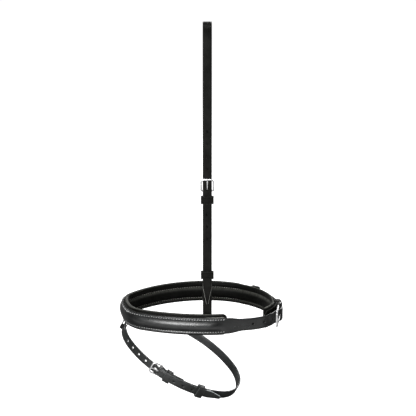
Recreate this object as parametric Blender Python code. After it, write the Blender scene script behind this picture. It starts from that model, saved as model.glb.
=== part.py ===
"""Flash noseband: a padded nose band on its headpiece strap, with a flash strap under the nose.

Every strap is first a flat blank, cut to its outline and punched, and is then bent along a path
of straights and arcs. Straps that lie on each other follow one path at different heights, so
they stay parallel with a small gap between them.

Axes: the origin is under the middle of the headpiece, where it hangs. +Z is up, +X points from
the nose to the chin, and -Y is the near side, where the cheek buckle is.
"""
import math
from bisect import bisect_right
from typing import NamedTuple

import bmesh
import bpy
from mathutils import Matrix, Vector

MM = 0.001

# Fit between pieces that touch, and how finely straps are bent
GAP = 0.3 * MM
LOOP_FIT = 0.6 * MM
LEATHER_EDGE = 0.45 * MM
WELD = 0.002 * MM
BEND_DEPTH = 0.25 * MM
FLASH_BEND_DEPTH = 0.12 * MM
LONGEST_BEND = math.radians(12)
FLAT_ENOUGH = math.radians(2)
FOLD_STEPS = 6
HOLE_POINTS = 10

# Headpiece strap: both legs hang from the poll and end on the inside of the nose band
DROP = 423 * MM
HEAD_WIDTH = 13 * MM
HEAD_THICK = 2.4 * MM
CROWN_FLAT = 9 * MM
CROWN_RADIUS = 13 * MM
CHEEK_BEND = 150 * MM
SEWN_LENGTH = 24 * MM
CHEEK_PLAY = 0.7 * MM
HEAD_PITCH = 17.5 * MM
HEAD_NEXT_BELOW = 21.6 * MM
HEAD_NEXT_ABOVE = 25.8 * MM
HEAD_HOLE = 3.2 * MM
HEAD_TAPER = 24 * MM
HEAD_TIP_WIDTH = 3.6 * MM
HEAD_TIP_BELOW = 95 * MM
HEAD_CORNER = 3 * MM

# Buckle on the cheek strap, and its loops, measured down the near leg
HEAD_PIVOT_DOWN = 246 * MM
HEAD_FRAME_LENGTH = 17 * MM
HEAD_KEEPER_DROP = 12.8 * MM
HEAD_RUNNER_DROP = 121 * MM
HEAD_TURNBACK = 40 * MM

# Nose band: an oval in plan, flatter on the near side
NOSE_REACH = 123 * MM
CHIN_REACH = 100.2 * MM
NEAR_BULGE = 79.8 * MM
FAR_BULGE = 72.4 * MM
CHIN_NEAR_BULGE = 63 * MM
NEAR_CORNER = 38 * MM
CHIN_CORNER = 69.5 * MM
NEAR_NOSE_BENDS = (24, 24)
NEAR_CHIN_BENDS = (19, 27)
FAR_NOSE_BENDS = (53, 37)
FAR_CHIN_BENDS = (45, 45)
LINING_HEIGHT = 32 * MM
LINING_EDGE = 1.2 * MM
LINING_CORNER = 7 * MM
LOBE_THICK = 6.2 * MM
SEAM_THICK = 3.2 * MM
STITCH_TOP = 8.6 * MM
STITCH_BOTTOM = -9.6 * MM
BACKING_HEIGHT = 25 * MM
BACKING_THICK = 1.5 * MM
BACKING_INSET = 2 * MM
BACKING_CORNER = 5 * MM
FACING_HEIGHT = 24 * MM
FACING_THICK = 2.2 * MM
FACING_DROP = 0.6 * MM
FACING_CORNER = 5 * MM
FILLER_RISE = 3.2 * MM
FILLER_FADE = 22 * MM
FILLER_INSET = FILLER_FADE / 2
FILLER_EDGE = 0.25 * MM
NEAR_PAD_END = 29 * MM
CHIN_PAD_END = 88.5 * MM

# Billet: the facing's near end, which passes through the chin buckle
BILLET_WIDTH = 18.5 * MM
BILLET_NECK = 22 * MM
BILLET_HOLES = 7
BILLET_USED_HOLE = 3
BILLET_PITCH = 16.3 * MM
BILLET_HOLE = 3 * MM
BILLET_STRETCH = 7.7 * MM
BILLET_FIRST_HOLE = 60 * MM
BILLET_TAPER = 24 * MM
BILLET_TIP_WIDTH = 6 * MM

# Chin buckle, the sewn fold that holds it, and its loops
CHIN_PIVOT_PAST_APEX = 10.5 * MM
CHIN_FRAME_LENGTH = 27 * MM
CHIN_FRAME_TILT = math.radians(7)
CHAPE_THICK = 2.0 * MM
CHAPE_BACK = 50 * MM
CHAPE_SHORTER = 27 * MM
CHAPE_CORNER = 3 * MM
CHIN_HOLE_AHEAD = 6.1 * MM
CHIN_KEEPER_BACK = 16 * MM
CHIN_RUNNER_BACK = 84 * MM
CHIN_LOOP_THICK = 1.3 * MM
CHIN_LOOP_CORNER = 4 * MM
CHIN_PRESS_ROOM = 12 * MM
CHIN_PRESS_FADE = 10 * MM

# Where the billet changes height, measured past the chin buckle's bar
BILLET_OFF_CROWN = (-CHAPE_BACK - FILLER_FADE, -CHAPE_BACK)
BILLET_ON_RETURN = (-34 * MM, -24 * MM)
BILLET_CLIMB = (-10.5 * MM, -3 * MM)
BILLET_FALL = (1.5 * MM, 20 * MM)
BILLET_BOW = 4.3 * MM
BILLET_BOW_RISE = (6 * MM, 24 * MM)
BILLET_BOW_FALL = (32 * MM, 75 * MM)

# Flash strap: an oval hoop that slopes down from the nose to the chin groove
FLASH_BEHIND_NOSE = 0.2 * MM
FLASH_ASIDE = 2.7 * MM
FLASH_BELOW_LINING = 10.2 * MM
FLASH_SLOPE = math.radians(27.3)
FLASH_ROLL = math.radians(11)
FLASH_TURN = math.radians(-7.7)
FLASH_REACH = 96.6 * MM
FLASH_BULGE = 72.2 * MM
FLASH_BENDS = (40, 50)
FLASH_WIDTH = 13 * MM
FLASH_THICK = 2.3 * MM
FLASH_PITCH = 14.5 * MM
FLASH_NEXT_BELOW = 15.2 * MM
FLASH_NEXT_ABOVE = 21 * MM
FLASH_HOLE = 3.2 * MM
FLASH_TIP_BELOW = 44.5 * MM
FLASH_TAPER = 17 * MM
FLASH_TIP_WIDTH = 6.5 * MM
FLASH_CORNER = 2.5 * MM
FLASH_PIVOT_BACK = 115 * MM
FLASH_FRAME_LENGTH = 14.5 * MM
FLASH_TURNBACK = 38 * MM
FLASH_KEEPER_BACK = 14 * MM
FLASH_KEEPER_THICK = 1.2 * MM
FLASH_RUNNER_BACK = 66 * MM
FLASH_TAIL_SPRING = 4.5 * MM
FLASH_TAIL_FREE = 22 * MM

# Loop under the nose that carries the flash strap
FLASH_LOOP_WIDTH = 14 * MM
FLASH_LOOP_ROOM = 1.9 * MM
FLASH_LOOP_THICK = 1.5 * MM

# Buckle wire and loop leather, shared by the three buckles
WIRE = 1.15 * MM
CHIN_WIRE = 1.4 * MM
TONGUE_WIRE = 0.85 * MM
CHIN_TONGUE_WIRE = 1.1 * MM
FRAME_PLAY = 1.1 * MM
OUTER_CORNER = 3.4
PIVOT_CORNER = 1.2
EYE_STEPS = 12
LOOP_THICK = 2.1 * MM
LOOP_WIDTH = 10.5 * MM
LOOP_CORNER = 1.6 * MM
LOOP_INNER_CORNER = 0.5 * MM
HOLES_EACH_WAY = 4
USED_HOLE_STRETCH = 5.1 * MM
USED_HOLE_SHARE = 0.34
CROSSING_START = -1 * MM
CROSSING_END = 12 * MM
CROSSING_STEPS = 6


class Finish(NamedTuple):
    """A surface's colour, roughness and metallic share."""

    name: str
    colour: tuple
    roughness: float
    metallic: float


BLACK_LEATHER = Finish("leather", (0.012, 0.012, 0.012), 0.42, 0.0)
FLASH_LEATHER = Finish("leather", (0.045, 0.05, 0.05), 0.48, 0.0)
SOFT_LEATHER = Finish("soft_leather", (0.008, 0.009, 0.008), 0.75, 0.0)
FELT = Finish("felt", (0.05, 0.05, 0.05), 0.9, 0.0)
STEEL = Finish("steel", (0.62, 0.62, 0.63), 0.16, 1.0)

COLLECTION = bpy.data.collections.new("flash_noseband")


class StrapPath:
    """A flat chain of straights and arcs, walked clockwise with its outside on the left."""

    def __init__(self, axes, start, heading, runs, depth, marks=(), closed=False):
        self.axes = axes
        self.normal = axes[1].cross(axes[2])
        self.closed = closed
        self.stops = [0.0]
        self.points = []
        self.outs = []
        self.centres = []
        self._add(start, heading)
        walked = 0.0
        for length, radius in runs:
            marked = [mark - walked for mark in marks if 0 < mark - walked < length]
            steps = bend_steps(length, radius, depth)
            centre = self._centre(start, heading, radius)
            for cut in sorted(set([length * step / steps for step in range(1, steps + 1)] + marked)):
                self._add(*self._advance(start, heading, cut, radius))
                self.stops.append(walked + cut)
                self.centres.append(centre)
            start, heading = self._advance(start, heading, length, radius)
            walked += length
        self.length = walked

    @staticmethod
    def _advance(start, heading, length, radius):
        """Point and heading after a stretch, which turns right when its radius is positive."""
        if not radius:
            return start + Vector((math.cos(heading), math.sin(heading))) * length, heading
        right = Vector((math.sin(heading), -math.cos(heading)))
        later = heading - length / radius
        later_right = Vector((math.sin(later), -math.cos(later)))
        return start + (right - later_right) * radius, later

    def _centre(self, start, heading, radius):
        """The middle of an arc in space, or none for a straight."""
        if not radius:
            return None
        return self._in_space(start + Vector((math.sin(heading), -math.cos(heading))) * radius)

    def _in_space(self, point):
        origin, axis_p, axis_q = self.axes
        return origin + axis_p * point.x + axis_q * point.y

    def _add(self, point, heading):
        out = Vector((-math.sin(heading), math.cos(heading)))
        self.points.append(self._in_space(point))
        self.outs.append(self.axes[1] * out.x + self.axes[2] * out.y)

    def _find(self, along):
        if self.closed:
            along = along % self.length
        index = min(max(bisect_right(self.stops, along) - 1, 0), len(self.stops) - 2)
        share = (along - self.stops[index]) / (self.stops[index + 1] - self.stops[index])
        return index, share

    def place(self, along, across, up):
        """A point of a strap: along the path, across the strap and up from the path."""
        index, share = self._find(along)
        low = self.points[index] + self.outs[index] * up
        high = self.points[index + 1] + self.outs[index + 1] * up
        return low.lerp(high, share) - self.normal * across

    def frame(self, along, up):
        """Matrix at a place on the path: x ahead, y across and z out."""
        index, share = self._find(along)
        out = self.outs[index].lerp(self.outs[index + 1], share).normalized()
        side = -self.normal
        matrix = Matrix((side.cross(out), side, out)).transposed().to_4x4()
        matrix.translation = self.place(along, 0, up)
        return matrix

    def centre(self, along):
        """The middle of the arc that the path follows at a place."""
        return self.centres[self._find(along)[0]]

    def stops_between(self, low, high):
        """Every bend line of the path that lies between two places on it."""
        turns = range(-2, 3) if self.closed else [0]
        places = [stop + turn * self.length for turn in turns for stop in self.stops]
        return sorted({place for place in places if low + WELD < place < high - WELD})


def bend_steps(length, radius, depth):
    """How many straight facets follow an arc to within a depth."""
    if not radius:
        return 1
    bend = min(2 * math.acos(1 - depth / radius), LONGEST_BEND)
    return math.ceil(length / radius / bend)


def smooth_step(value, low, high):
    """0 below low, 1 above high and a smooth rise between them."""
    share = min(max((value - low) / (high - low), 0), 1)
    return share * share * (3 - 2 * share)


def spread(low, high, steps):
    """Evenly spaced places from low to high, with both ends."""
    return [low + (high - low) * step / steps for step in range(steps + 1)]


def oval_quarter(reach, bulge, bends, corner=0.0):
    """The arcs of a quarter of an oval from its side to its end, each as length and radius.

    The bends are the degrees that the side arc and the end arc turn. A corner arc turns the
    rest, and the side and end radii are the two that close the quarter.
    """
    side_bend, end_bend = (math.radians(bend) for bend in bends)
    turned = math.pi / 2 - end_bend
    ahead = reach - corner * (math.sin(turned) - math.sin(side_bend))
    down = bulge - corner * (math.cos(side_bend) - math.cos(turned))
    forward = (math.sin(side_bend), 1 - math.sin(turned))
    sideways = (1 - math.cos(side_bend), math.cos(turned))
    shares = Matrix((forward, sideways))
    side, end = shares.inverted() @ Vector((ahead, down))
    arcs = [(side * side_bend, side), (corner * (turned - side_bend), corner), (end * end_bend, end)]
    return [(length, radius) for length, radius in arcs if length > WELD]


def run_length(runs):
    return sum(length for length, _ in runs)


# Heights in the stack of the nose band, measured out from the back of its lining
BACKING_UP = GAP + BACKING_THICK / 2
BACKING_TOP = GAP + BACKING_THICK
FACING_UP = BACKING_TOP + GAP + FACING_THICK / 2
BAND_HALF_DEPTH = (NEAR_BULGE + FAR_BULGE) / 2

# How far the billet lies above its own place in the stack where it covers other pieces
OVER_CROWN = FACING_THICK + GAP + FILLER_RISE
OVER_CHAPE = CHAPE_THICK + GAP
OVER_RETURN = 2 * (CHAPE_THICK + GAP)
OVER_FOLD = 2 * (CHIN_WIRE + GAP + CHAPE_THICK) + GAP

# The nose band's path starts at its near side and goes round the nose first
NEAR_NOSE = oval_quarter(NOSE_REACH, NEAR_BULGE, NEAR_NOSE_BENDS, NEAR_CORNER)
FAR_NOSE = oval_quarter(NOSE_REACH, FAR_BULGE, FAR_NOSE_BENDS)
CHIN_FAR_BULGE = NEAR_BULGE + FAR_BULGE - CHIN_NEAR_BULGE
FAR_CHIN = oval_quarter(CHIN_REACH, CHIN_FAR_BULGE, FAR_CHIN_BENDS)
NEAR_CHIN = oval_quarter(CHIN_REACH, CHIN_NEAR_BULGE, NEAR_CHIN_BENDS, CHIN_CORNER)
BAND_RUNS = NEAR_NOSE + FAR_NOSE[::-1] + FAR_CHIN + NEAR_CHIN[::-1]
BAND_LENGTH = run_length(BAND_RUNS)
CHIN_PIVOT = BAND_LENGTH - run_length(NEAR_CHIN) + CHIN_PIVOT_PAST_APEX
PAD_START = -NEAR_PAD_END
PAD_END = BAND_LENGTH - CHIN_PAD_END
FACING_END = CHIN_PIVOT - CHAPE_BACK
PRESS_START = CHIN_PIVOT - CHIN_RUNNER_BACK - LOOP_WIDTH / 2 - CHIN_PRESS_ROOM
PRESS_END = CHIN_PIVOT - CHIN_KEEPER_BACK + LOOP_WIDTH / 2 + GAP
BAND_AXIS = Vector((0, 0, -DROP))


def band_path():
    marks = [BAND_LENGTH + PAD_START, CHIN_PIVOT, PAD_END, FACING_END]
    axes = (BAND_AXIS, Vector((1, 0, 0)), Vector((0, 1, 0)))
    start = Vector((0, -BAND_HALF_DEPTH))
    return StrapPath(axes, start, math.pi, BAND_RUNS, BEND_DEPTH, marks, True)


def leg_runs():
    """The headpiece's middle line: up the near side, over the poll and down the far side."""
    side = BAND_HALF_DEPTH - LOBE_THICK - CHEEK_PLAY - HEAD_THICK / 2
    foot = -DROP + LINING_HEIGHT / 2 - SEWN_LENGTH
    upright = SEWN_LENGTH + HEAD_WIDTH / 2
    crown_centre = Vector((-CROWN_FLAT / 2, HEAD_THICK / 2 - CROWN_RADIUS))
    cheek_centre = Vector((CHEEK_BEND - side, foot + upright))
    between = crown_centre - cheek_centre
    closing = CROWN_RADIUS - CHEEK_BEND
    straight = math.sqrt(between.length_squared - closing * closing)
    heading = math.atan2(between.y, between.x) + math.atan2(closing, straight)
    lean = math.pi / 2 - heading
    cheek = (CHEEK_BEND * lean, CHEEK_BEND)
    crown = (CROWN_RADIUS * heading, CROWN_RADIUS)
    rise = [(upright, None), cheek, (straight, None), crown]
    return Vector((-side, foot)), rise, rise + [(CROWN_FLAT, None)] + rise[::-1]


LEG_START, LEG_RISE, LEG_RUNS = leg_runs()
LEG_LENGTH = run_length(LEG_RUNS)
HEAD_PIVOT = run_length(LEG_RISE) + CROWN_FLAT / 2 - HEAD_PIVOT_DOWN
HEAD_USED_HOLE = HEAD_PIVOT + USED_HOLE_SHARE * HEAD_FRAME_LENGTH
HEAD_LOWEST_HOLE = HEAD_USED_HOLE - HEAD_NEXT_BELOW - (HOLES_EACH_WAY - 1) * HEAD_PITCH
HEAD_TIP = HEAD_LOWEST_HOLE - HEAD_TIP_BELOW


def leg_path():
    axes = (Vector(), Vector((0, 1, 0)), Vector((0, 0, 1)))
    return StrapPath(axes, LEG_START, math.pi / 2, LEG_RUNS, FLASH_BEND_DEPTH, [HEAD_PIVOT])


# The flash hoop's path starts at its nose end and goes round the far side first
FLASH_FRONT = BAND_AXIS - Vector((NOSE_REACH, 0, LINING_HEIGHT / 2))
FLASH_FRONT += Vector((FLASH_BEHIND_NOSE, FLASH_ASIDE, -FLASH_BELOW_LINING))
FLASH_QUARTER = oval_quarter(FLASH_REACH, FLASH_BULGE, FLASH_BENDS)
FLASH_RUNS = (FLASH_QUARTER[::-1] + FLASH_QUARTER) * 2
FLASH_LENGTH = run_length(FLASH_RUNS)
FLASH_PIVOT = FLASH_LENGTH - FLASH_PIVOT_BACK
FLASH_USED_HOLE = FLASH_PIVOT + USED_HOLE_SHARE * FLASH_FRAME_LENGTH
FLASH_LOWEST_HOLE = FLASH_USED_HOLE - FLASH_NEXT_BELOW - (HOLES_EACH_WAY - 1) * FLASH_PITCH
FLASH_TIP = FLASH_LOWEST_HOLE - FLASH_TIP_BELOW


def flash_path():
    slope = Matrix.Rotation(FLASH_SLOPE, 3, "Y")
    roll = Matrix.Rotation(FLASH_ROLL, 3, "X")
    turn = Matrix.Rotation(FLASH_TURN, 3, "Z")
    plane = slope @ roll @ turn
    axes = (FLASH_FRONT, plane @ Vector((1, 0, 0)), plane @ Vector((0, 1, 0)))
    return StrapPath(axes, Vector((0, 0)), math.pi / 2, FLASH_RUNS, FLASH_BEND_DEPTH, [FLASH_PIVOT], True)


BAND = band_path()
LEG = leg_path()
FLASH = flash_path()


def material(name, finish):
    made = bpy.data.materials.new(name)
    made.use_nodes = True
    shader = made.node_tree.nodes["Principled BSDF"]
    shader.inputs["Base Color"].default_value = (*finish.colour, 1)
    shader.inputs["Roughness"].default_value = finish.roughness
    shader.inputs["Metallic"].default_value = finish.metallic
    return made


def place_of(holder):
    """Where a holder is in space: holders are moved and never turned."""
    place = Vector()
    while holder:
        place += holder.location
        holder = holder.parent
    return place


def add_holder(name, place, parent=None):
    """An empty on a joint's axis, which carries the pieces that move about it."""
    holder = bpy.data.objects.new(name, None)
    holder.parent = parent
    holder.location = place - place_of(parent)
    COLLECTION.objects.link(holder)
    return holder


def add_object(name, mesh, finish, matrix, holder=None):
    """A named part of the model at a matrix, with a material of its own."""
    part = bpy.data.objects.new(name, mesh)
    mesh.materials.clear()
    mesh.materials.append(material(name + "_" + finish.name, finish))
    part.parent = holder
    part.matrix_basis = Matrix.Translation(-place_of(holder)) @ matrix
    COLLECTION.objects.link(part)
    return part


def mesh_of(curve, name):
    """The welded mesh of a curve, which takes the curve's place."""
    stand_in = bpy.data.objects.new(name, curve)
    COLLECTION.objects.link(stand_in)
    graph = bpy.context.evaluated_depsgraph_get()
    mesh = bpy.data.meshes.new_from_object(stand_in.evaluated_get(graph))
    bpy.data.objects.remove(stand_in)
    welded = bmesh.new()
    welded.from_mesh(mesh)
    bmesh.ops.remove_doubles(welded, verts=welded.verts, dist=WELD)
    bmesh.ops.recalc_face_normals(welded, faces=welded.faces)
    welded.to_mesh(mesh)
    welded.free()
    return mesh


def add_spline(curve, points, closed):
    spline = curve.splines.new("POLY")
    spline.points.add(len(points) - 1)
    for point, place in zip(spline.points, points):
        point.co = (*place, 1)
    spline.use_cyclic_u = closed


def flat_plate(name, loops, thickness, edge):
    """A plate with chamfered edges: the first loop is its outline and the others are holes."""
    curve = bpy.data.curves.new(name, "CURVE")
    curve.dimensions = "2D"
    curve.fill_mode = "BOTH"
    curve.extrude = thickness / 2 - edge
    curve.bevel_depth = edge
    curve.bevel_resolution = 0
    curve.offset = -edge
    for loop in loops:
        add_spline(curve, [(x, y, 0) for x, y in loop], True)
    return mesh_of(curve, name)


def wire_mesh(name, points, radius, closed):
    """A round wire along its points, with flat ends where it is open."""
    curve = bpy.data.curves.new(name, "CURVE")
    curve.dimensions = "3D"
    curve.bevel_depth = radius
    curve.bevel_resolution = 2
    curve.use_fill_caps = not closed
    add_spline(curve, points, closed)
    mesh = mesh_of(curve, name)
    mesh.shade_smooth()
    return mesh


def outline(stations, half_width, shift=0.0):
    """The loop of a blank that is half_width(x) wide to each side of its middle line."""
    upper = [(x, shift - half_width(x)) for x in stations]
    lower = [(x, shift + half_width(x)) for x in reversed(stations)]
    return upper + lower


def point_stations(taper, tip_width):
    """Stations along a strap's point: round its tip, and at the end of its taper."""
    radius = tip_width / 2
    return [radius * (1 - math.cos(math.radians(angle))) for angle in (30, 60, 90)] + [taper]


def point_half_width(x, width, taper, tip_width):
    """Half the width of a strap near its point."""
    radius = tip_width / 2
    if x < radius:
        return math.sqrt(max(radius * radius - (radius - x) ** 2, 0))
    return radius + (width / 2 - radius) * min((x - radius) / (taper - radius), 1)


def end_stations(length, corner):
    return [length - corner * (1 - math.sin(math.radians(angle))) for angle in (0, 30, 60, 90)]


def end_half_width(x, length, width, corner):
    """Half the width of a strap near its square end with round corners."""
    into = max(x - (length - corner), 0)
    return width / 2 - corner + math.sqrt(max(corner * corner - into * into, 0))


def rounded_strip(start, end, width, corner, shift=0.0):
    """The outline of a strip with the same round corners at both ends."""

    def half_width(x):
        nearer = max(x - start, end - x)
        return end_half_width(nearer, end - start, width, corner)

    far_end = [start + x for x in end_stations(end - start, corner)]
    near_end = [start + end - x for x in reversed(far_end)]
    return outline(near_end + far_end, half_width, shift)


def hole(x, diameter, stretch=0.0, shift=0.0):
    """A punched hole, or a slot that is longer than it is wide by stretch."""
    loop = []
    for step in range(HOLE_POINTS):
        angle = 2 * math.pi * (step + 0.5) / HOLE_POINTS
        middle = x + math.copysign(stretch / 2, math.cos(angle))
        loop.append((middle + diameter / 2 * math.cos(angle), shift + diameter / 2 * math.sin(angle)))
    return loop


def hole_row(used, below, above, pitch, diameter):
    """The hole in use, stretched by its tongue, and the round holes to each side of it."""
    loops = [hole(used, diameter, USED_HOLE_STRETCH)]
    for index in range(HOLES_EACH_WAY):
        loops.append(hole(used - below - index * pitch, diameter))
        loops.append(hole(used + above + index * pitch, diameter))
    return loops


def score(blank, axis, position, beyond=None):
    """Cuts a blank's faces along a line across an axis, only past a place if one is given."""
    faces = [face for face in blank.faces if beyond is None or face.calc_center_median().x > beyond]
    edges = {edge for face in faces for edge in face.edges}
    vertices = {vertex for face in faces for vertex in face.verts}
    geometry = faces + list(edges) + list(vertices)
    cut = bmesh.ops.bisect_plane(blank, geom=geometry, dist=WELD, plane_co=axis * position, plane_no=axis)
    for scored in cut["geom_cut"]:
        if isinstance(scored, bmesh.types.BMEdge):
            scored.seam = True


def bent(name, mesh, cuts, lanes, place, finish, holder=None, lanes_beyond=None):
    """A strap: a flat blank that is scored across and along, and then put in place."""
    blank = bmesh.new()
    blank.from_mesh(mesh)
    for position in cuts:
        score(blank, Vector((1, 0, 0)), position)
    for position in lanes:
        score(blank, Vector((0, 1, 0)), position, lanes_beyond)
    whole = {"verts": blank.verts, "edges": blank.edges}
    bmesh.ops.dissolve_limit(blank, angle_limit=FLAT_ENOUGH, delimit={"SEAM"}, **whole)
    bmesh.ops.triangulate(blank, faces=blank.faces)
    origin = place_of(holder)
    for vertex in blank.verts:
        vertex.co = place(*vertex.co) - origin
    blank.to_mesh(mesh)
    blank.free()
    return add_object(name, mesh, finish, Matrix.Translation(origin), holder)


class Fold:
    """A strap's end that goes round a buckle's bar and back along the same path."""

    def __init__(self, path, pivot, up, thickness, wire, outwards):
        self.path = path
        self.pivot = pivot
        self.up = up
        self.sign = 1 if outwards else -1
        self.radius = wire + GAP + thickness / 2
        self.settled = thickness + GAP
        self.bar_up = up + self.sign * self.radius
        self.round_bar = math.pi * self.radius
        self.settle_length = 3 * self.radius

    def place(self, past, across, z):
        """A point of the strap, past the start of the fold and z above the strap's middle."""
        if past <= 0:
            return self.path.place(self.pivot + past, across, self.up + z)
        if past < self.round_bar:
            angle = past / self.radius
            ring = self.radius - self.sign * z
            local = Vector((ring * math.sin(angle), across, -self.sign * ring * math.cos(angle)))
            return self.path.frame(self.pivot, self.bar_up) @ local
        back = past - self.round_bar
        unsettled = 1 - smooth_step(back, 0, self.settle_length)
        apart = self.settled + (2 * self.radius - self.settled) * unsettled
        return self.path.place(self.pivot - back, across, self.up + self.sign * apart - z)

    def cuts(self, start, returned):
        """Places to score the blank, measured past the fold's start."""
        main = [stop - self.pivot for stop in self.path.stops_between(start, self.pivot)]
        arc = spread(0, self.round_bar, FOLD_STEPS)
        settle = spread(self.round_bar, self.round_bar + self.settle_length, 4)
        stops = self.path.stops_between(self.pivot - returned, self.pivot)
        back = [self.round_bar + self.pivot - stop for stop in stops]
        return sorted(set(main + arc + settle + back))

    def slot(self, tongue_wire, start, shift=0.0):
        """The slot that lets the tongue's eye through the fold, in the blank's own lengths."""
        length = self.round_bar + 2 * (self.radius + 2 * tongue_wire)
        width = 2 * (tongue_wire + LOOP_FIT)
        return hole(start + self.round_bar / 2, width, length - width, shift)


def frame_tilt(bar_up, strap_top, length, wire):
    """How far a frame leans out, so that its outer bar just clears the strap under it."""
    return math.asin((strap_top + GAP + wire - bar_up) / length)


def buckle(name, matrix, tilt, length, strap_width, wire, tongue_wire, holder=None):
    """A wire frame on its bar, and its tongue with an open eye round the bar."""
    matrix = matrix @ Matrix.Rotation(-tilt, 4, "Y")
    half = strap_width / 2 + FRAME_PLAY + wire
    outer, inner = OUTER_CORNER * wire, PIVOT_CORNER * wire
    corners = (
        (length, half, outer, 0),
        (0, half, inner, 90),
        (0, -half, inner, 180),
        (length, -half, outer, 270),
    )
    centres = []
    for x, y, radius, first in corners:
        middle_x = x + math.copysign(radius, length / 2 - x)
        middle_y = y - math.copysign(radius, y)
        for angle in spread(math.radians(first), math.radians(first + 90), 4):
            centres.append((middle_x + radius * math.cos(angle), middle_y + radius * math.sin(angle), 0))
    add_object(name + "_frame", wire_mesh(name + "_frame", centres, wire, True), STEEL, matrix, holder)
    reach = wire + GAP + tongue_wire
    eye = spread(math.radians(360), math.radians(90), EYE_STEPS)
    path = [(reach * math.cos(angle), 0, reach * math.sin(angle)) for angle in eye]
    path += [(length / 2, 0, reach), (length + wire, 0, reach)]
    add_object(name + "_tongue", wire_mesh(name + "_tongue", path, tongue_wire, False), STEEL, matrix, holder)


def rounded_rectangle(low_x, high_x, low_y, high_y, low_radius, high_radius, steps):
    """A loop round a rectangle, with a radius for its low corners and one for its high corners."""
    loop = []
    for x, y, first in ((high_x, high_y, 0), (low_x, high_y, 90), (low_x, low_y, 180), (high_x, low_y, 270)):
        radius = high_radius if y == high_y else low_radius
        middle_x = x - math.copysign(radius, x - (low_x + high_x) / 2)
        middle_y = y - math.copysign(radius, y - (low_y + high_y) / 2)
        for angle in spread(math.radians(first), math.radians(first + 90), steps):
            loop.append((middle_x + radius * math.cos(angle), middle_y + radius * math.sin(angle)))
    return loop


def ring_loops(width, low, high, fit, thickness, drawn_in=0.0):
    """The outside and inside of a leather ring round straps between two heights.

    drawn_in is the inner radius of the corners on its outer side, where they are soft.
    """
    half = width / 2 + LOOP_FIT
    inner = (-half, half, low - fit, high + fit)
    outer = (-half - thickness, half + thickness, low - fit - thickness, high + fit + thickness)
    corner = min(LOOP_CORNER, thickness)
    if not drawn_in:
        outside = rounded_rectangle(*outer, corner, corner, 3)
        return [outside, rounded_rectangle(*inner, LOOP_INNER_CORNER, LOOP_INNER_CORNER, 1)]
    outside = rounded_rectangle(*outer, corner, drawn_in + thickness, 5)
    return [outside, rounded_rectangle(*inner, LOOP_INNER_CORNER, drawn_in, 5)]


def leather_loop(name, path, along, loops, loop_width, finish, holder=None, shift=0.0):
    """A leather ring that is set square to the path."""
    mesh = flat_plate(name, loops, loop_width, LEATHER_EDGE)
    upright = Matrix(((0, 0, 1), (1, 0, 0), (0, 1, 0))).to_4x4()
    matrix = path.frame(along, 0) @ Matrix.Translation((0, shift, 0)) @ upright
    return add_object(name, mesh, finish, matrix, holder)


def crossing(along, pivot, height):
    """How far a strap lies out from the path as it comes through a buckle and over its fold."""
    return height * (1 - smooth_step(along - pivot, CROSSING_START, CROSSING_END))


def crossing_stops(pivot):
    return spread(pivot + CROSSING_START, pivot + CROSSING_END, CROSSING_STEPS)


def build_headpiece():
    length = LEG_LENGTH - HEAD_TIP
    lift = HEAD_THICK + GAP

    def half_width(x):
        pointed = point_half_width(x, HEAD_WIDTH, HEAD_TAPER, HEAD_TIP_WIDTH)
        return min(pointed, end_half_width(x, length, HEAD_WIDTH, HEAD_CORNER))

    def place(x, y, z):
        along = HEAD_TIP + x
        return LEG.place(along, y, crossing(along, HEAD_PIVOT, lift) + z)

    stations = point_stations(HEAD_TAPER, HEAD_TIP_WIDTH) + end_stations(length, HEAD_CORNER)
    loops = [outline(stations, half_width)]
    loops += hole_row(HEAD_USED_HOLE - HEAD_TIP, HEAD_NEXT_BELOW, HEAD_NEXT_ABOVE, HEAD_PITCH, HEAD_HOLE)
    stops = LEG.stops_between(HEAD_TIP, LEG_LENGTH) + crossing_stops(HEAD_PIVOT)
    cuts = [stop - HEAD_TIP for stop in stops]
    mesh = flat_plate("headpiece_strap", loops, HEAD_THICK, LEATHER_EDGE)
    bent("headpiece_strap", mesh, cuts, [], place, BLACK_LEATHER)


def build_cheek_strap():
    fold = Fold(LEG, HEAD_PIVOT, 0.0, HEAD_THICK, WIRE, False)
    length = HEAD_PIVOT + fold.round_bar + HEAD_TURNBACK

    def place(x, y, z):
        return fold.place(x - HEAD_PIVOT, y, z)

    loops = [rounded_strip(0, length, HEAD_WIDTH, HEAD_CORNER), fold.slot(TONGUE_WIRE, HEAD_PIVOT)]
    cuts = [HEAD_PIVOT + cut for cut in fold.cuts(0, HEAD_TURNBACK)]
    mesh = flat_plate("cheek_strap", loops, HEAD_THICK, LEATHER_EDGE)
    bent("cheek_strap", mesh, cuts, [], place, BLACK_LEATHER)
    matrix = LEG.frame(HEAD_PIVOT, fold.bar_up)
    tilt = frame_tilt(fold.bar_up, HEAD_THICK / 2, HEAD_FRAME_LENGTH, WIRE)
    buckle("head_buckle", matrix, tilt, HEAD_FRAME_LENGTH, HEAD_WIDTH, WIRE, TONGUE_WIRE)
    top = HEAD_THICK * 1.5 + GAP
    keeper = ring_loops(HEAD_WIDTH, -top, top, LOOP_FIT, LOOP_THICK)
    leather_loop("head_keeper", LEG, HEAD_PIVOT - HEAD_KEEPER_DROP, keeper, LOOP_WIDTH, BLACK_LEATHER)
    runner = ring_loops(HEAD_WIDTH, -HEAD_THICK / 2, top, LOOP_FIT, LOOP_THICK)
    leather_loop("head_runner", LEG, HEAD_PIVOT - HEAD_RUNNER_DROP, runner, LOOP_WIDTH, BLACK_LEATHER)


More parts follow.
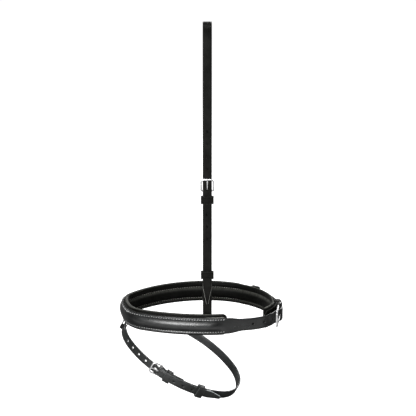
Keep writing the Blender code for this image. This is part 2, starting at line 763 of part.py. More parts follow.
# The band's stitch rows, as places across its straps, which run down from the middle
UPPER_SEAM = -STITCH_TOP
LOWER_SEAM = -STITCH_BOTTOM
SEAM_MIDDLE = (UPPER_SEAM + LOWER_SEAM) / 2
SEAM_HALF = (LOWER_SEAM - UPPER_SEAM) / 2
CROWN_LANES = [SEAM_MIDDLE + SEAM_HALF * share for share in (-1, -0.8, -0.45, 0, 0.45, 0.8, 1)]


def filler_rise(along, across):
    """How far the facing is raised over the filler at a place on the band."""
    share = (across - SEAM_MIDDLE) / SEAM_HALF
    ends = smooth_step(along, PAD_START, PAD_START + FILLER_FADE)
    ends *= 1 - smooth_step(along, FACING_END - FILLER_FADE, FACING_END)
    return FILLER_RISE * max(1 - share * share, 0) * ends


def fade_stops():
    """Places along the band where the filler's ends need a bend line."""
    near_end = spread(PAD_START, PAD_START + FILLER_FADE, 4)
    return near_end + spread(FACING_END - FILLER_FADE, FACING_END, 4)


def lobes():
    """The lower and upper side of each soft lobe of the lining."""
    edges = (-LINING_HEIGHT / 2, UPPER_SEAM, LOWER_SEAM, LINING_HEIGHT / 2)
    return list(zip(edges, edges[1:]))


def lobe_thickness(across):
    """Thickness of the lining: three soft lobes between its edges and its two seams."""
    for low, high in lobes():
        if across <= high:
            share = (2 * across - low - high) / (high - low)
            return SEAM_THICK + (LOBE_THICK - SEAM_THICK) * math.sqrt(max(1 - share * share, 0))
    return SEAM_THICK


def lining_press(along):
    """How far the lining is pressed in to make room for the chin loops behind the backing."""
    pressed = smooth_step(along, PRESS_START - CHIN_PRESS_FADE, PRESS_START)
    pressed *= 1 - smooth_step(along, PRESS_END, PRESS_END + CHIN_PRESS_FADE)
    return (CHIN_LOOP_THICK + LOOP_FIT) * pressed


def build_lining(holder):
    def place(x, y, z):
        along = PAD_START + x
        inner = lobe_thickness(y)
        outer = lining_press(along)
        depth = outer + (inner - outer) * (0.5 - z / LOBE_THICK)
        return BAND.place(along, y, -depth)

    lanes = [UPPER_SEAM, LOWER_SEAM]
    for low, high in lobes():
        lanes += spread(low + (high - low) / 8, high - (high - low) / 8, 2)
    stops = BAND.stops_between(PAD_START, PAD_END)
    stops += spread(PRESS_START - CHIN_PRESS_FADE, PRESS_START, 2)
    stops += spread(PRESS_END, PRESS_END + CHIN_PRESS_FADE, 2)
    cuts = [stop - PAD_START for stop in stops]
    strip = rounded_strip(0, PAD_END - PAD_START, LINING_HEIGHT, LINING_CORNER)
    mesh = flat_plate("nose_lining", [strip], LOBE_THICK, LINING_EDGE)
    bent("nose_lining", mesh, cuts, lanes, place, SOFT_LEATHER, holder)


def build_backing(holder):
    start = PAD_START + BACKING_INSET
    end = PAD_END - BACKING_INSET

    def place(x, y, z):
        return BAND.place(start + x, y, BACKING_UP + z)

    strip = rounded_strip(0, end - start, BACKING_HEIGHT, BACKING_CORNER, FACING_DROP)
    cuts = [stop - start for stop in BAND.stops_between(start, end)]
    mesh = flat_plate("nose_backing", [strip], BACKING_THICK, LEATHER_EDGE)
    bent("nose_backing", mesh, cuts, [], place, BLACK_LEATHER, holder)


def build_filler(holder):
    start = PAD_START + FILLER_INSET
    end = FACING_END - FILLER_INSET
    half = SEAM_HALF * 0.8

    def place(x, y, z):
        height = max(filler_rise(start + x, y) - GAP, FILLER_EDGE)
        return BAND.place(start + x, y, BACKING_TOP + GAP + height * (z / BACKING_THICK + 0.5))

    stops = sorted(set(BAND.stops_between(start, end) + fade_stops()))
    cuts = [stop - start for stop in stops if start < stop < end]
    strip = outline([0, end - start], lambda x: half, SEAM_MIDDLE)
    mesh = flat_plate("nose_filler", [strip], BACKING_THICK, FILLER_EDGE)
    bent("nose_filler", mesh, cuts, [SEAM_MIDDLE], place, FELT, holder)


def billet_lift(along):
    """How far the billet lies off the band: over the padding, the chape and the buckle's bar.

    Past the bar it bows out under the front of the frame before it comes back to the band.
    """
    past = along - (CHIN_PIVOT - BAND_LENGTH)
    rise = OVER_CROWN + (OVER_CHAPE - OVER_CROWN) * smooth_step(past, *BILLET_OFF_CROWN)
    rise += (OVER_RETURN - OVER_CHAPE) * smooth_step(past, *BILLET_ON_RETURN)
    rise += (OVER_FOLD - OVER_RETURN) * smooth_step(past, *BILLET_CLIMB)
    bow = smooth_step(past, *BILLET_BOW_RISE) * (1 - smooth_step(past, *BILLET_BOW_FALL))
    return rise * (1 - smooth_step(past, *BILLET_FALL)) + BILLET_BOW * bow


def billet_lift_stops(pivot):
    """Places where the billet needs a bend line because its height over the band changes."""
    changes = spread(*BILLET_OFF_CROWN, 3) + spread(*BILLET_ON_RETURN, 3) + spread(*BILLET_CLIMB, 4)
    changes += spread(*BILLET_FALL, 6) + spread(*BILLET_BOW_RISE, 4) + spread(*BILLET_BOW_FALL, 4)
    return [pivot + past for past in changes]


def build_facing(holder):
    """The facing of the nose band, which narrows into the billet of the chin buckle."""
    pivot = CHIN_PIVOT - BAND_LENGTH
    tip = pivot + CHIN_HOLE_AHEAD - BILLET_FIRST_HOLE - BILLET_USED_HOLE * BILLET_PITCH
    length = FACING_END - tip
    neck_end = PAD_START - tip
    neck_start = neck_end - BILLET_NECK

    def half_width(x):
        billet = point_half_width(x, BILLET_WIDTH, BILLET_TAPER, BILLET_TIP_WIDTH)
        wide = (FACING_HEIGHT - BILLET_WIDTH) / 2 * smooth_step(x, neck_start, neck_end)
        return min(billet + wide, end_half_width(x, length, FACING_HEIGHT, FACING_CORNER))

    def place(x, y, z):
        along = tip + x
        up = FACING_UP + z + filler_rise(along, y) + billet_lift(along)
        return BAND.place(along, y, up)

    stations = point_stations(BILLET_TAPER, BILLET_TIP_WIDTH) + spread(neck_start, neck_end, 6)
    loops = [outline(stations + end_stations(length, FACING_CORNER), half_width, FACING_DROP)]
    for index in range(BILLET_HOLES):
        stretch = BILLET_STRETCH if index == BILLET_USED_HOLE else 0.0
        loops.append(hole(BILLET_FIRST_HOLE + index * BILLET_PITCH, BILLET_HOLE, stretch, FACING_DROP))
    stops = BAND.stops_between(tip, FACING_END) + billet_lift_stops(pivot) + fade_stops()
    stops += [PAD_START + FILLER_INSET, FACING_END - FILLER_INSET]
    cuts = [stop - tip for stop in sorted(set(stops))]
    mesh = flat_plate("nose_facing", loops, FACING_THICK, LEATHER_EDGE)
    bent("nose_facing", mesh, cuts, CROWN_LANES, place, BLACK_LEATHER, holder, neck_end)


def build_chin_buckle(holder):
    up = BACKING_TOP + GAP + CHAPE_THICK / 2
    fold = Fold(BAND, CHIN_PIVOT, up, CHAPE_THICK, CHIN_WIRE, True)
    returned = CHAPE_BACK - CHAPE_SHORTER
    under = CHAPE_BACK - GAP
    length = under + fold.round_bar + returned

    def place(x, y, z):
        return fold.place(x - under, y, z)

    slot = fold.slot(CHIN_TONGUE_WIRE, under, FACING_DROP)
    loops = [rounded_strip(0, length, BILLET_WIDTH, CHAPE_CORNER, FACING_DROP), slot]
    cuts = [under + cut for cut in fold.cuts(CHIN_PIVOT - under, returned)]
    mesh = flat_plate("chin_chape", loops, CHAPE_THICK, LEATHER_EDGE)
    bent("chin_chape", mesh, cuts, [], place, BLACK_LEATHER, holder)
    matrix = BAND.frame(CHIN_PIVOT, fold.bar_up) @ Matrix.Translation((0, FACING_DROP, 0))
    tilt = CHIN_FRAME_TILT
    buckle("chin_buckle", matrix, tilt, CHIN_FRAME_LENGTH, BILLET_WIDTH, CHIN_WIRE, CHIN_TONGUE_WIRE, holder)


def build_chin_loops(holder):
    top = FACING_UP + FACING_THICK / 2
    sizes = (LOOP_FIT, CHIN_LOOP_THICK, CHIN_LOOP_CORNER)
    loops = ring_loops(BACKING_HEIGHT, GAP, top + OVER_RETURN, *sizes)
    keeper_place = CHIN_PIVOT - CHIN_KEEPER_BACK
    leather_loop("chin_keeper", BAND, keeper_place, loops, LOOP_WIDTH, BLACK_LEATHER, holder, FACING_DROP)
    loops = ring_loops(BACKING_HEIGHT, GAP, top + OVER_CROWN, *sizes)
    runner_place = CHIN_PIVOT - CHIN_RUNNER_BACK
    slider = add_holder("chin_runner_axis", BAND.centre(runner_place), holder)
    leather_loop("chin_runner", BAND, runner_place, loops, LOOP_WIDTH, BLACK_LEATHER, slider, FACING_DROP)


def build_flash_strap(holder):
    """The flash strap: its tail, which springs straight, its hoop and the fold at its buckle."""
    fold = Fold(FLASH, FLASH_PIVOT, 0.0, FLASH_THICK, WIRE, False)
    to_start = FLASH_LENGTH - FLASH_TIP
    to_fold = to_start + FLASH_PIVOT
    length = to_fold + fold.round_bar + FLASH_TURNBACK
    lift = FLASH_THICK + GAP

    def half_width(x):
        pointed = point_half_width(x, FLASH_WIDTH, FLASH_TAPER, FLASH_TIP_WIDTH)
        return min(pointed, end_half_width(x, length, FLASH_WIDTH, FLASH_CORNER))

    def place(x, y, z):
        if x < to_start:
            along = FLASH_TIP + x
            free = max(1 - x / FLASH_TAIL_FREE, 0)
            up = crossing(along, FLASH_PIVOT, lift) + FLASH_TAIL_SPRING * free * free
            return FLASH.place(along, y, up + z)
        return fold.place(x - to_fold, y, z)

    stations = point_stations(FLASH_TAPER, FLASH_TIP_WIDTH) + end_stations(length, FLASH_CORNER)
    loops = [outline(stations, half_width), fold.slot(TONGUE_WIRE, to_fold)]
    used = FLASH_USED_HOLE - FLASH_TIP
    loops += hole_row(used, FLASH_NEXT_BELOW, FLASH_NEXT_ABOVE, FLASH_PITCH, FLASH_HOLE)
    stops = FLASH.stops_between(FLASH_TIP, FLASH_LENGTH) + crossing_stops(FLASH_PIVOT)
    cuts = [stop - FLASH_TIP for stop in stops] + spread(0, FLASH_TAIL_FREE, 4)[1:] + [to_start]
    cuts += [to_fold + cut for cut in fold.cuts(0, FLASH_TURNBACK)]
    mesh = flat_plate("flash_strap", loops, FLASH_THICK, LEATHER_EDGE)
    bent("flash_strap", mesh, cuts, [], place, FLASH_LEATHER, holder)
    matrix = FLASH.frame(FLASH_PIVOT, fold.bar_up)
    tilt = frame_tilt(fold.bar_up, FLASH_THICK / 2, FLASH_FRAME_LENGTH, WIRE)
    buckle("flash_buckle", matrix, tilt, FLASH_FRAME_LENGTH, FLASH_WIDTH, WIRE, TONGUE_WIRE, holder)


def build_flash_loops(holder):
    top = FLASH_THICK * 1.5 + GAP
    keeper = ring_loops(FLASH_WIDTH, -top, top, LOOP_FIT, FLASH_KEEPER_THICK)
    keeper_place = FLASH_PIVOT - FLASH_KEEPER_BACK
    leather_loop("flash_keeper", FLASH, keeper_place, keeper, LOOP_WIDTH, FLASH_LEATHER, holder)
    runner = ring_loops(FLASH_WIDTH, -FLASH_THICK / 2, top, LOOP_FIT, LOOP_THICK)
    runner_place = FLASH_PIVOT - FLASH_RUNNER_BACK
    slider = add_holder("flash_runner_axis", FLASH.centre(runner_place), holder)
    leather_loop("flash_runner", FLASH, runner_place, runner, LOOP_WIDTH, FLASH_LEATHER, slider)


def build_flash_loop(holder):
    half = FLASH_THICK / 2
    loops = ring_loops(FLASH_WIDTH, -half, half, FLASH_LOOP_ROOM, FLASH_LOOP_THICK)
    leather_loop("flash_loop", FLASH, 0.0, loops, FLASH_LOOP_WIDTH, BLACK_LEATHER, holder)


def main():
    for leftover in list(bpy.data.objects):
        bpy.data.objects.remove(leftover)
    bpy.context.scene.collection.children.link(COLLECTION)
    build_headpiece()
    build_cheek_strap()
    band_holder = add_holder("nose_band_axis", BAND_AXIS)
    build_lining(band_holder)
    build_backing(band_holder)
    build_filler(band_holder)
    build_facing(band_holder)
    build_chin_buckle(band_holder)
    build_chin_loops(band_holder)
    loop_place = BAND_AXIS - Vector((NOSE_REACH + FACING_UP, 0, LINING_HEIGHT / 2 + GAP))
    loop_holder = add_holder("flash_loop_axis", loop_place, band_holder)
    build_flash_loop(loop_holder)
    flash_holder = add_holder("flash_axis", FLASH.place(0, 0, 0), loop_holder)
    build_flash_strap(flash_holder)
    build_flash_loops(flash_holder)


main()
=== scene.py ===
"""Looks of a flash noseband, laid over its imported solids.

Every strap is cut as a flat blank and bent along a smooth path. The padding is a closed skin of
soft lobes, the stitches are short threads, and the buckles are bent wire. Each piece rides on
the body it moves with. Sizes are in metres. +Z is up, +X points from the nose to the chin, and
-Y is the near side.
"""
import logging
import math
from dataclasses import dataclass, field
from enum import Enum
from typing import Callable

import bmesh
import bpy
from mathutils import Matrix, Vector, noise


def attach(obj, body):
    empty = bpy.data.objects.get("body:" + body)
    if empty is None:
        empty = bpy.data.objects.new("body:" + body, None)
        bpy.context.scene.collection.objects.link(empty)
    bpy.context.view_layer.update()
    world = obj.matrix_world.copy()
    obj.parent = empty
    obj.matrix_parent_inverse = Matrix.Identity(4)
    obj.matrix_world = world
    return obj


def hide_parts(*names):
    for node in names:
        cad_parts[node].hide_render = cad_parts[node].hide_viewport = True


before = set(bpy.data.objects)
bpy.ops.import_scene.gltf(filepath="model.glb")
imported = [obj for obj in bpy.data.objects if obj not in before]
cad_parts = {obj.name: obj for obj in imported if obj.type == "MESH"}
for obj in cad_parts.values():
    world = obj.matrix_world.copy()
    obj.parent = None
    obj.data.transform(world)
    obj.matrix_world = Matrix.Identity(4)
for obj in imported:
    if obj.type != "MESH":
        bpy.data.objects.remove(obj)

MM = 0.001
# The room between leathers that touch, and between a strap and its loops.
GAP = 0.3 * MM
LOOP_FIT = 0.6 * MM
WELD = 0.002 * MM
# The tongue's hole, which lies past the bar by a share of the frame's length.
USED_HOLE_STRETCH = 5.1 * MM
HOLES_EACH_WAY = 4
TONGUE_HOLE_SHARE = 0.34
# The two short rows that close a turned-back end.
SEAM_FROM_END = 3 * MM
SEAM_FROM_KEEPER = 8 * MM
SEAM_OFF_MIDDLE = 4.4 * MM
# Degrees from which an edge stays sharp.
SHARP_LEATHER = 50
SHARP_STEEL = 60
FACETED = 1
# Degrees of the points round a strap's tip and its square end's corners.
TIP_ANGLES = range(10, 100, 10)
CORNER_ANGLES = range(0, 100, 15)
HOLE_SIDES = 16
Span = tuple[float, float]
Run = tuple[float, float | None]
Place = Callable[[float, float, float], Vector]
Width = Callable[[float], float]
Loop = list[tuple[float, float]]
Colour = tuple[float, float, float]
Point = tuple[float, float, float]
Socket = bpy.types.NodeSocket
Shape = bmesh.types.BMesh
Piece = bpy.types.Object

LOG = logging.getLogger("flash_noseband")


class Body(Enum):
    """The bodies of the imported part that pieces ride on."""

    HEADPIECE = "headpiece"
    HEAD_RUNNER = "head_runner"
    HEAD_FRAME = "head_frame"
    HEAD_TONGUE = "head_tongue"
    NOSE_BAND = "nose_band"
    CHIN_RUNNER = "chin_runner"
    CHIN_FRAME = "chin_frame"
    CHIN_TONGUE = "chin_tongue"
    FLASH_LOOP = "flash_loop"
    FLASH = "flash"
    FLASH_RUNNER = "flash_runner"
    FLASH_FRAME = "flash_frame"
    FLASH_TONGUE = "flash_tongue"


class Slot(Enum):
    """The record's material slots, which each finish names."""

    BRIDLE = "bridle_leather"
    FLASH = "flash_leather"
    SOFT = "soft_leather"
    STEEL = "steel"


def smooth_step(value: float, low: float, high: float) -> float:
    """0 where a value is below low, 1 where it is above high, and a smooth rise between them."""
    share = min(max((value - low) / (high - low), 0), 1)
    return share * share * (3 - 2 * share)


def spread(low: float, high: float, steps: int) -> list[float]:
    """Evenly spaced places from low to high, one more than the steps."""
    return [low + (high - low) * step / steps for step in range(steps + 1)]


def stations(low: float, high: float, pitch: float) -> list[float]:
    """Evenly spaced places from low to high that lie a pitch apart at most."""
    return spread(low, high, max(math.ceil((high - low) / pitch), 1))


def advance(start: Vector, heading: float, length: float, radius: float | None) -> tuple[Vector, float]:
    """Point and heading after a stretch, which turns right when its radius is positive.

    Args:
        start: The point that the stretch starts from.
        heading: The direction it starts in, in radians.
        length: How long the stretch is.
        radius: Its radius, or None for a straight.

    Returns:
        The point and the heading at its end.
    """
    if not radius:
        return start + Vector((math.cos(heading), math.sin(heading))) * length, heading
    right = Vector((math.sin(heading), -math.cos(heading)))
    later = heading - length / radius
    later_right = Vector((math.sin(later), -math.cos(later)))
    return start + (right - later_right) * radius, later


def oval_quarter(reach: float, bulge: float, bends: tuple[float, float], corner: float = 0.0) -> list[Run]:
    """The arcs of a quarter of an oval from its side to its end.

    Args:
        reach: How far the quarter goes along the oval.
        bulge: How far it goes across the oval.
        bends: Degrees that the side arc and the end arc turn.
        corner: Radius of an arc between them that turns the rest.

    Returns:
        The arcs as length and radius.
    """
    side_bend, end_bend = (math.radians(bend) for bend in bends)
    turned = math.pi / 2 - end_bend
    ahead = reach - corner * (math.sin(turned) - math.sin(side_bend))
    down = bulge - corner * (math.cos(side_bend) - math.cos(turned))
    ahead_row = (math.sin(side_bend), 1 - math.sin(turned))
    down_row = (1 - math.cos(side_bend), math.cos(turned))
    side, end = Matrix((ahead_row, down_row)).inverted() @ Vector((ahead, down))
    arcs = [(side * side_bend, side), (corner * (turned - side_bend), corner), (end * end_bend, end)]
    return [(length, radius) for length, radius in arcs if length > WELD]


def run_length(runs: list[Run]) -> float:
    """The whole length of a chain of straights and arcs."""
    return sum(length for length, _ in runs)


@dataclass
class StrapPath:
    """A flat chain of straights and arcs, walked clockwise with its outside on the left."""

    origin: Vector
    ahead: Vector
    aside: Vector
    start: Vector
    heading: float
    runs: list[Run]
    closed: bool = False
    normal: Vector = field(init=False)
    legs: list[tuple[float, Vector, float, float | None]] = field(init=False)
    length: float = field(init=False)

    def __post_init__(self) -> None:
        """Walks the chain once and keeps where each run starts."""
        self.normal = self.ahead.cross(self.aside)
        self.legs = []
        walked, start, heading = 0.0, self.start, self.heading
        for length, radius in self.runs:
            self.legs.append((walked, start, heading, radius))
            start, heading = advance(start, heading, length, radius)
            walked += length
        self.length = walked

    def at(self, along: float) -> tuple[Vector, Vector]:
        """A point of the path and the direction out of it.

        Args:
            along: The distance from the path's start.

        Returns:
            The point and the outward unit vector.
        """
        if self.closed:
            along %= self.length
        walked, start, heading, radius = [leg for leg in self.legs if leg[0] <= max(along, 0)][-1]
        point, heading = advance(start, heading, along - walked, radius)
        out = self.ahead * -math.sin(heading) + self.aside * math.cos(heading)
        return self.origin + self.ahead * point.x + self.aside * point.y, out

    def place(self, along: float, across: float, up: float) -> Vector:
        """The point of a strap at a distance along the path, across the strap and out from it."""
        point, out = self.at(along)
        return point + out * up - self.normal * across

    def frame(self, along: float, up: float) -> Matrix:
        """Matrix at a place on the path: x ahead, y across and z out.

        Args:
            along: The distance along the path.
            up: The height out from the path.

        Returns:
            The matrix.
        """
        out = self.at(along)[1]
        side = -self.normal
        matrix = Matrix((side.cross(out), side, out)).transposed().to_4x4()
        matrix.translation = self.place(along, 0, up)
        return matrix


@dataclass
class Fold:
    """A strap's end that goes round a buckle's bar and back along the same path."""

    path: StrapPath
    pivot: float
    up: float
    thickness: float
    wire: float
    outwards: bool
    bar_steps: int = 16
    settle_steps: int = 8
    settle_radii: float = 3.0

    def __post_init__(self) -> None:
        """Works out the bend round the bar and how far the two layers lie apart."""
        self.sign = 1 if self.outwards else -1
        self.radius = self.wire + GAP + self.thickness / 2
        self.settled = self.thickness + GAP
        self.bar_up = self.up + self.sign * self.radius
        self.round_bar = math.pi * self.radius
        self.settle_length = self.settle_radii * self.radius

    def place(self, past: float, across: float, z: float) -> Vector:
        """A point of the strap.

        Args:
            past: The distance past the start of the fold.
            across: The distance across the strap.
            z: The height over the strap's middle.

        Returns:
            The point in space.
        """
        if past <= 0:
            return self.path.place(self.pivot + past, across, self.up + z)
        if past < self.round_bar:
            angle = past / self.radius
            ring = self.radius - self.sign * z
            local = Vector((ring * math.sin(angle), across, -self.sign * ring * math.cos(angle)))
            return self.path.frame(self.pivot, self.bar_up) @ local
        back = past - self.round_bar
        settling = 1 - smooth_step(back, 0, self.settle_length)
        apart = self.settled + (2 * self.radius - self.settled) * settling
        return self.path.place(self.pivot - back, across, self.up + self.sign * apart - z)

    def cuts(self, start: float, returned: float, pitch: float) -> list[float]:
        """Places to score the blank.

        Args:
            start: Where the strap starts on the path.
            returned: How much of it goes back along the path.
            pitch: The longest distance between cuts away from the bar.

        Returns:
            The places, measured past the fold's start.
        """
        main = stations(start - self.pivot, 0, pitch)
        back = stations(self.round_bar + self.settle_length, self.round_bar + returned, pitch)
        bend = spread(0, self.round_bar, self.bar_steps)
        return main + bend + spread(self.round_bar, back[0], self.settle_steps) + back

    def slot(self, tongue_wire: float, start: float, shift: float = 0.0) -> Loop:
        """The slot that lets the tongue's eye through the fold.

        Args:
            tongue_wire: The tongue's radius.
            start: Where the fold starts in the blank.
            shift: How far the slot lies off the blank's middle line.

        Returns:
            The slot's outline in the blank.
        """
        length = self.round_bar + 2 * (self.radius + 2 * tongue_wire)
        width = 2 * (tongue_wire + LOOP_FIT)
        return hole(start + self.round_bar / 2, width, length - width, shift)


def outline(places: list[float], half_width: Width, shift: float = 0.0) -> Loop:
    """The loop of a blank about its middle line, which is shifted off zero."""
    upper = [(x, shift - half_width(x)) for x in places]
    return upper + [(x, shift + half_width(x)) for x in reversed(places)]


def point_stations(taper: float, tip_width: float) -> list[float]:
    """Places round the tip of a strap's point and at its taper's end, measured from the tip."""
    radius = tip_width / 2
    return [radius * (1 - math.cos(math.radians(angle))) for angle in TIP_ANGLES] + [taper]


def point_half_width(x: float, width: float, taper: float, tip_width: float) -> float:
    """Half the width of a strap near its point.

    Args:
        x: The distance from the tip.
        width: The strap's full width.
        taper: How long the point is.
        tip_width: How wide its round tip is.

    Returns:
        Half the width there.
    """
    radius = tip_width / 2
    if x < radius:
        return math.sqrt(max(radius * radius - (radius - x) ** 2, 0))
    return radius + (width / 2 - radius) * min((x - radius) / (taper - radius), 1)


def end_stations(length: float, corner: float) -> list[float]:
    """Places along the round corners at a blank's end, up to its length itself."""
    return [length - corner * (1 - math.sin(math.radians(angle))) for angle in CORNER_ANGLES] + [length]


def end_half_width(x: float, length: float, width: float, corner: float) -> float:
    """Half the width of a strap near its square end, which has round corners."""
    into = max(x - (length - corner), 0)
    return width / 2 - corner + math.sqrt(max(corner * corner - into * into, 0))


def strip_half_width(start: float, end: float, width: float, corner: float) -> Width:
    """Half the width of a strip that has round corners at both ends.

    Args:
        start: Where the strip starts.
        end: Where it ends.
        width: Its full width.
        corner: The corners' radius.

    Returns:
        A function from a place to half the width there.
    """

    def half_width(x: float) -> float:
        """Half the strip's width at a place."""
        return end_half_width(max(x - start, end - x), end - start, width, corner)

    return half_width


def rounded_strip(start: float, end: float, width: float, corner: float, shift: float = 0.0) -> Loop:
    """The outline of a strip with round corners at both ends.

    Args:
        start: Where the strip starts.
        end: Where it ends.
        width: Its full width.
        corner: The corners' radius.
        shift: How far its middle line lies off zero.

    Returns:
        The loop's points.
    """
    far_end = [start + x for x in end_stations(end - start, corner)][:-1]
    near_end = [start + end - x for x in reversed(far_end)]
    return outline(near_end + far_end, strip_half_width(start, end, width, corner), shift)


def hole(x: float, diameter: float, stretch: float = 0.0, shift: float = 0.0) -> Loop:
    """A punched hole, or a slot that is longer than it is wide.

    Args:
        x: Where its middle lies along the blank.
        diameter: Its width.
        stretch: How much longer than wide it is.
        shift: How far it lies off the blank's zero line.

    Returns:
        The loop's points.
    """
    loop = []
    for step in range(HOLE_SIDES):
        angle = 2 * math.pi * (step + 0.5) / HOLE_SIDES
        middle = x + math.copysign(stretch / 2, math.cos(angle))
        loop.append((middle + diameter / 2 * math.cos(angle), shift + diameter / 2 * math.sin(angle)))
    return loop


def hole_row(used: float, below: float, above: float, pitch: float, diameter: float) -> list[Loop]:
    """The hole in use, stretched by its tongue, and the round holes to each side of it.

    Args:
        used: Where the hole in use lies.
        below: Distance to the first hole before it.
        above: Distance to the first hole after it.
        pitch: Distance between the others.
        diameter: The holes' diameter.

    Returns:
        The loops.
    """
    loops = [hole(used, diameter, USED_HOLE_STRETCH)]
    for index in range(HOLES_EACH_WAY):
        loops.append(hole(used - below - index * pitch, diameter))
        loops.append(hole(used + above + index * pitch, diameter))
    return loops


class Graph:
    """The node tree of a material or of the world, with short calls for what they share."""

    def __init__(self, owner: bpy.types.Material | bpy.types.World, shader: str = "Principled BSDF") -> None:
        """Starts the tree of a new material or world.

        Args:
            owner: The material or world.
            shader: The name of the shader that its tree starts with.
        """
        owner.use_nodes = True
        self.owner = owner
        self.tree = owner.node_tree
        self.shader = self.tree.nodes[shader]

    def node(self, kind: str, **inputs: object) -> bpy.types.Node:
        """Adds a node and sets or links its inputs.

        Args:
            kind: The node's type, without ShaderNode.
            inputs: Values or sockets, by input name with _ for a space.

        Returns:
            The node.
        """
        node = self.tree.nodes.new("ShaderNode" + kind)
        for name, value in inputs.items():
            self.feed(node.inputs[name.replace("_", " ")], value)
        return node

    def feed(self, socket: Socket, value: object) -> None:
        """Links a socket to another one, or sets its value.

        Args:
            socket: The socket that is fed.
            value: Another socket, or a plain value.
        """
        if isinstance(value, Socket):
            self.tree.links.new(value, socket)
        else:
            socket.default_value = value

    def attribute(self, name: str) -> Socket:
        """The vector that the meshes hold under a name.

        Args:
            name: "blank" for the flat place, or "rim" for the place across the strap, both in mm.

        Returns:
            The vector's socket.
        """
        node = self.node("Attribute")
        node.attribute_name = name
        return node.outputs["Vector"]

    def sum(self, operation: str, first: object, second: object = 0.0) -> Socket:
        """One step of arithmetic.

        Args:
            operation: Blender's name of the step.
            first: A number or socket.
            second: A number or socket.

        Returns:
            The result's socket.
        """
        node = self.node("Math")
        node.operation = operation
        self.feed(node.inputs[0], first)
        self.feed(node.inputs[1], second)
        return node.outputs[0]

    def product(self, first: object, second: object) -> Socket:
        """The product of two numbers or sockets."""
        return self.sum("MULTIPLY", first, second)

    def add_share(self, base: object, share: float, of: object) -> Socket:
        """A base with a share of something else added to it."""
        return self.sum("ADD", base, self.product(of, share))

    def fade(self, value: object, low: float, high: float, start: float = 0.0, end: float = 1.0) -> Socket:
        """A smooth step between two results.

        Args:
            value: The socket that is judged.
            low: Where the step starts.
            high: Where it ends.
            start: The result before it.
            end: The result after it.

        Returns:
            The result's socket.
        """
        node = self.node("MapRange", Value=value)
        node.interpolation_type = "SMOOTHSTEP"
        for name, number in (("From Min", low), ("From Max", high), ("To Min", start), ("To Max", end)):
            node.inputs[name].default_value = number
        return node.outputs["Result"]

    def noise(self, vector: object, scale: float, detail: float) -> Socket:
        """Cloudy noise, as a factor."""
        return self.node("TexNoise", Vector=vector, Scale=scale, Detail=detail).outputs["Fac"]

    def cells(self, vector: object, scale: float) -> Socket:
        """The distance to the nearest cell's middle, for pores and pebbles."""
        return self.node("TexVoronoi", Vector=vector, Scale=scale).outputs["Distance"]

    def stretched(self, vector: object, scale: tuple[float, float, float]) -> Socket:
        """A vector scaled on each axis, for marks that run one way."""
        return self.node("Mapping", Vector=vector, Scale=scale).outputs[0]

    def choose(self, factor: object, first: object, second: object) -> Socket:
        """The first number where a factor is 0 and the second where it is 1."""
        return self.node("Mix", Factor=factor, A=first, B=second).outputs["Result"]

    def blend(self, factor: object, first: object, second: object) -> Socket:
        """A mix of two colours.

        Args:
            factor: The second colour's share.
            first: A colour or socket.
            second: A colour or socket.

        Returns:
            The mixed colour's socket.
        """
        node = self.node("Mix")
        node.data_type = "RGBA"
        for index, value in ((0, factor), (6, first), (7, second)):
            self.feed(node.inputs[index], value)
        return node.outputs[2]

    def bump(self, height: object, depth: float, below: object = None) -> Socket:
        """A bumped normal.

        Args:
            height: The socket that gives the height.
            depth: How high a height of 1 stands, in metres.
            below: A normal that this one is laid over.

        Returns:
            The normal's socket.
        """
        node = self.node("Bump", Height=height, Distance=depth, Strength=1.0)
        if below is not None:
            self.feed(node.inputs["Normal"], below)
        return node.outputs["Normal"]

    def finish(self, **inputs: object) -> bpy.types.Material | bpy.types.World:
        """Feeds the shader and hands the material or world over.

        Args:
            inputs: Values or sockets, by the shader's input names with _ for a space.

        Returns:
            The material or world.
        """
        for name, value in inputs.items():
            self.feed(self.shader.inputs[name.replace("_", " ")], value)
        return self.owner


def toned(colour: Colour, tone: float = 1.0) -> tuple[float, float, float, float]:
    """A colour made lighter or darker by a factor, with full cover."""
    red, green, blue = (channel * tone for channel in colour)
    return (red, green, blue, 1)


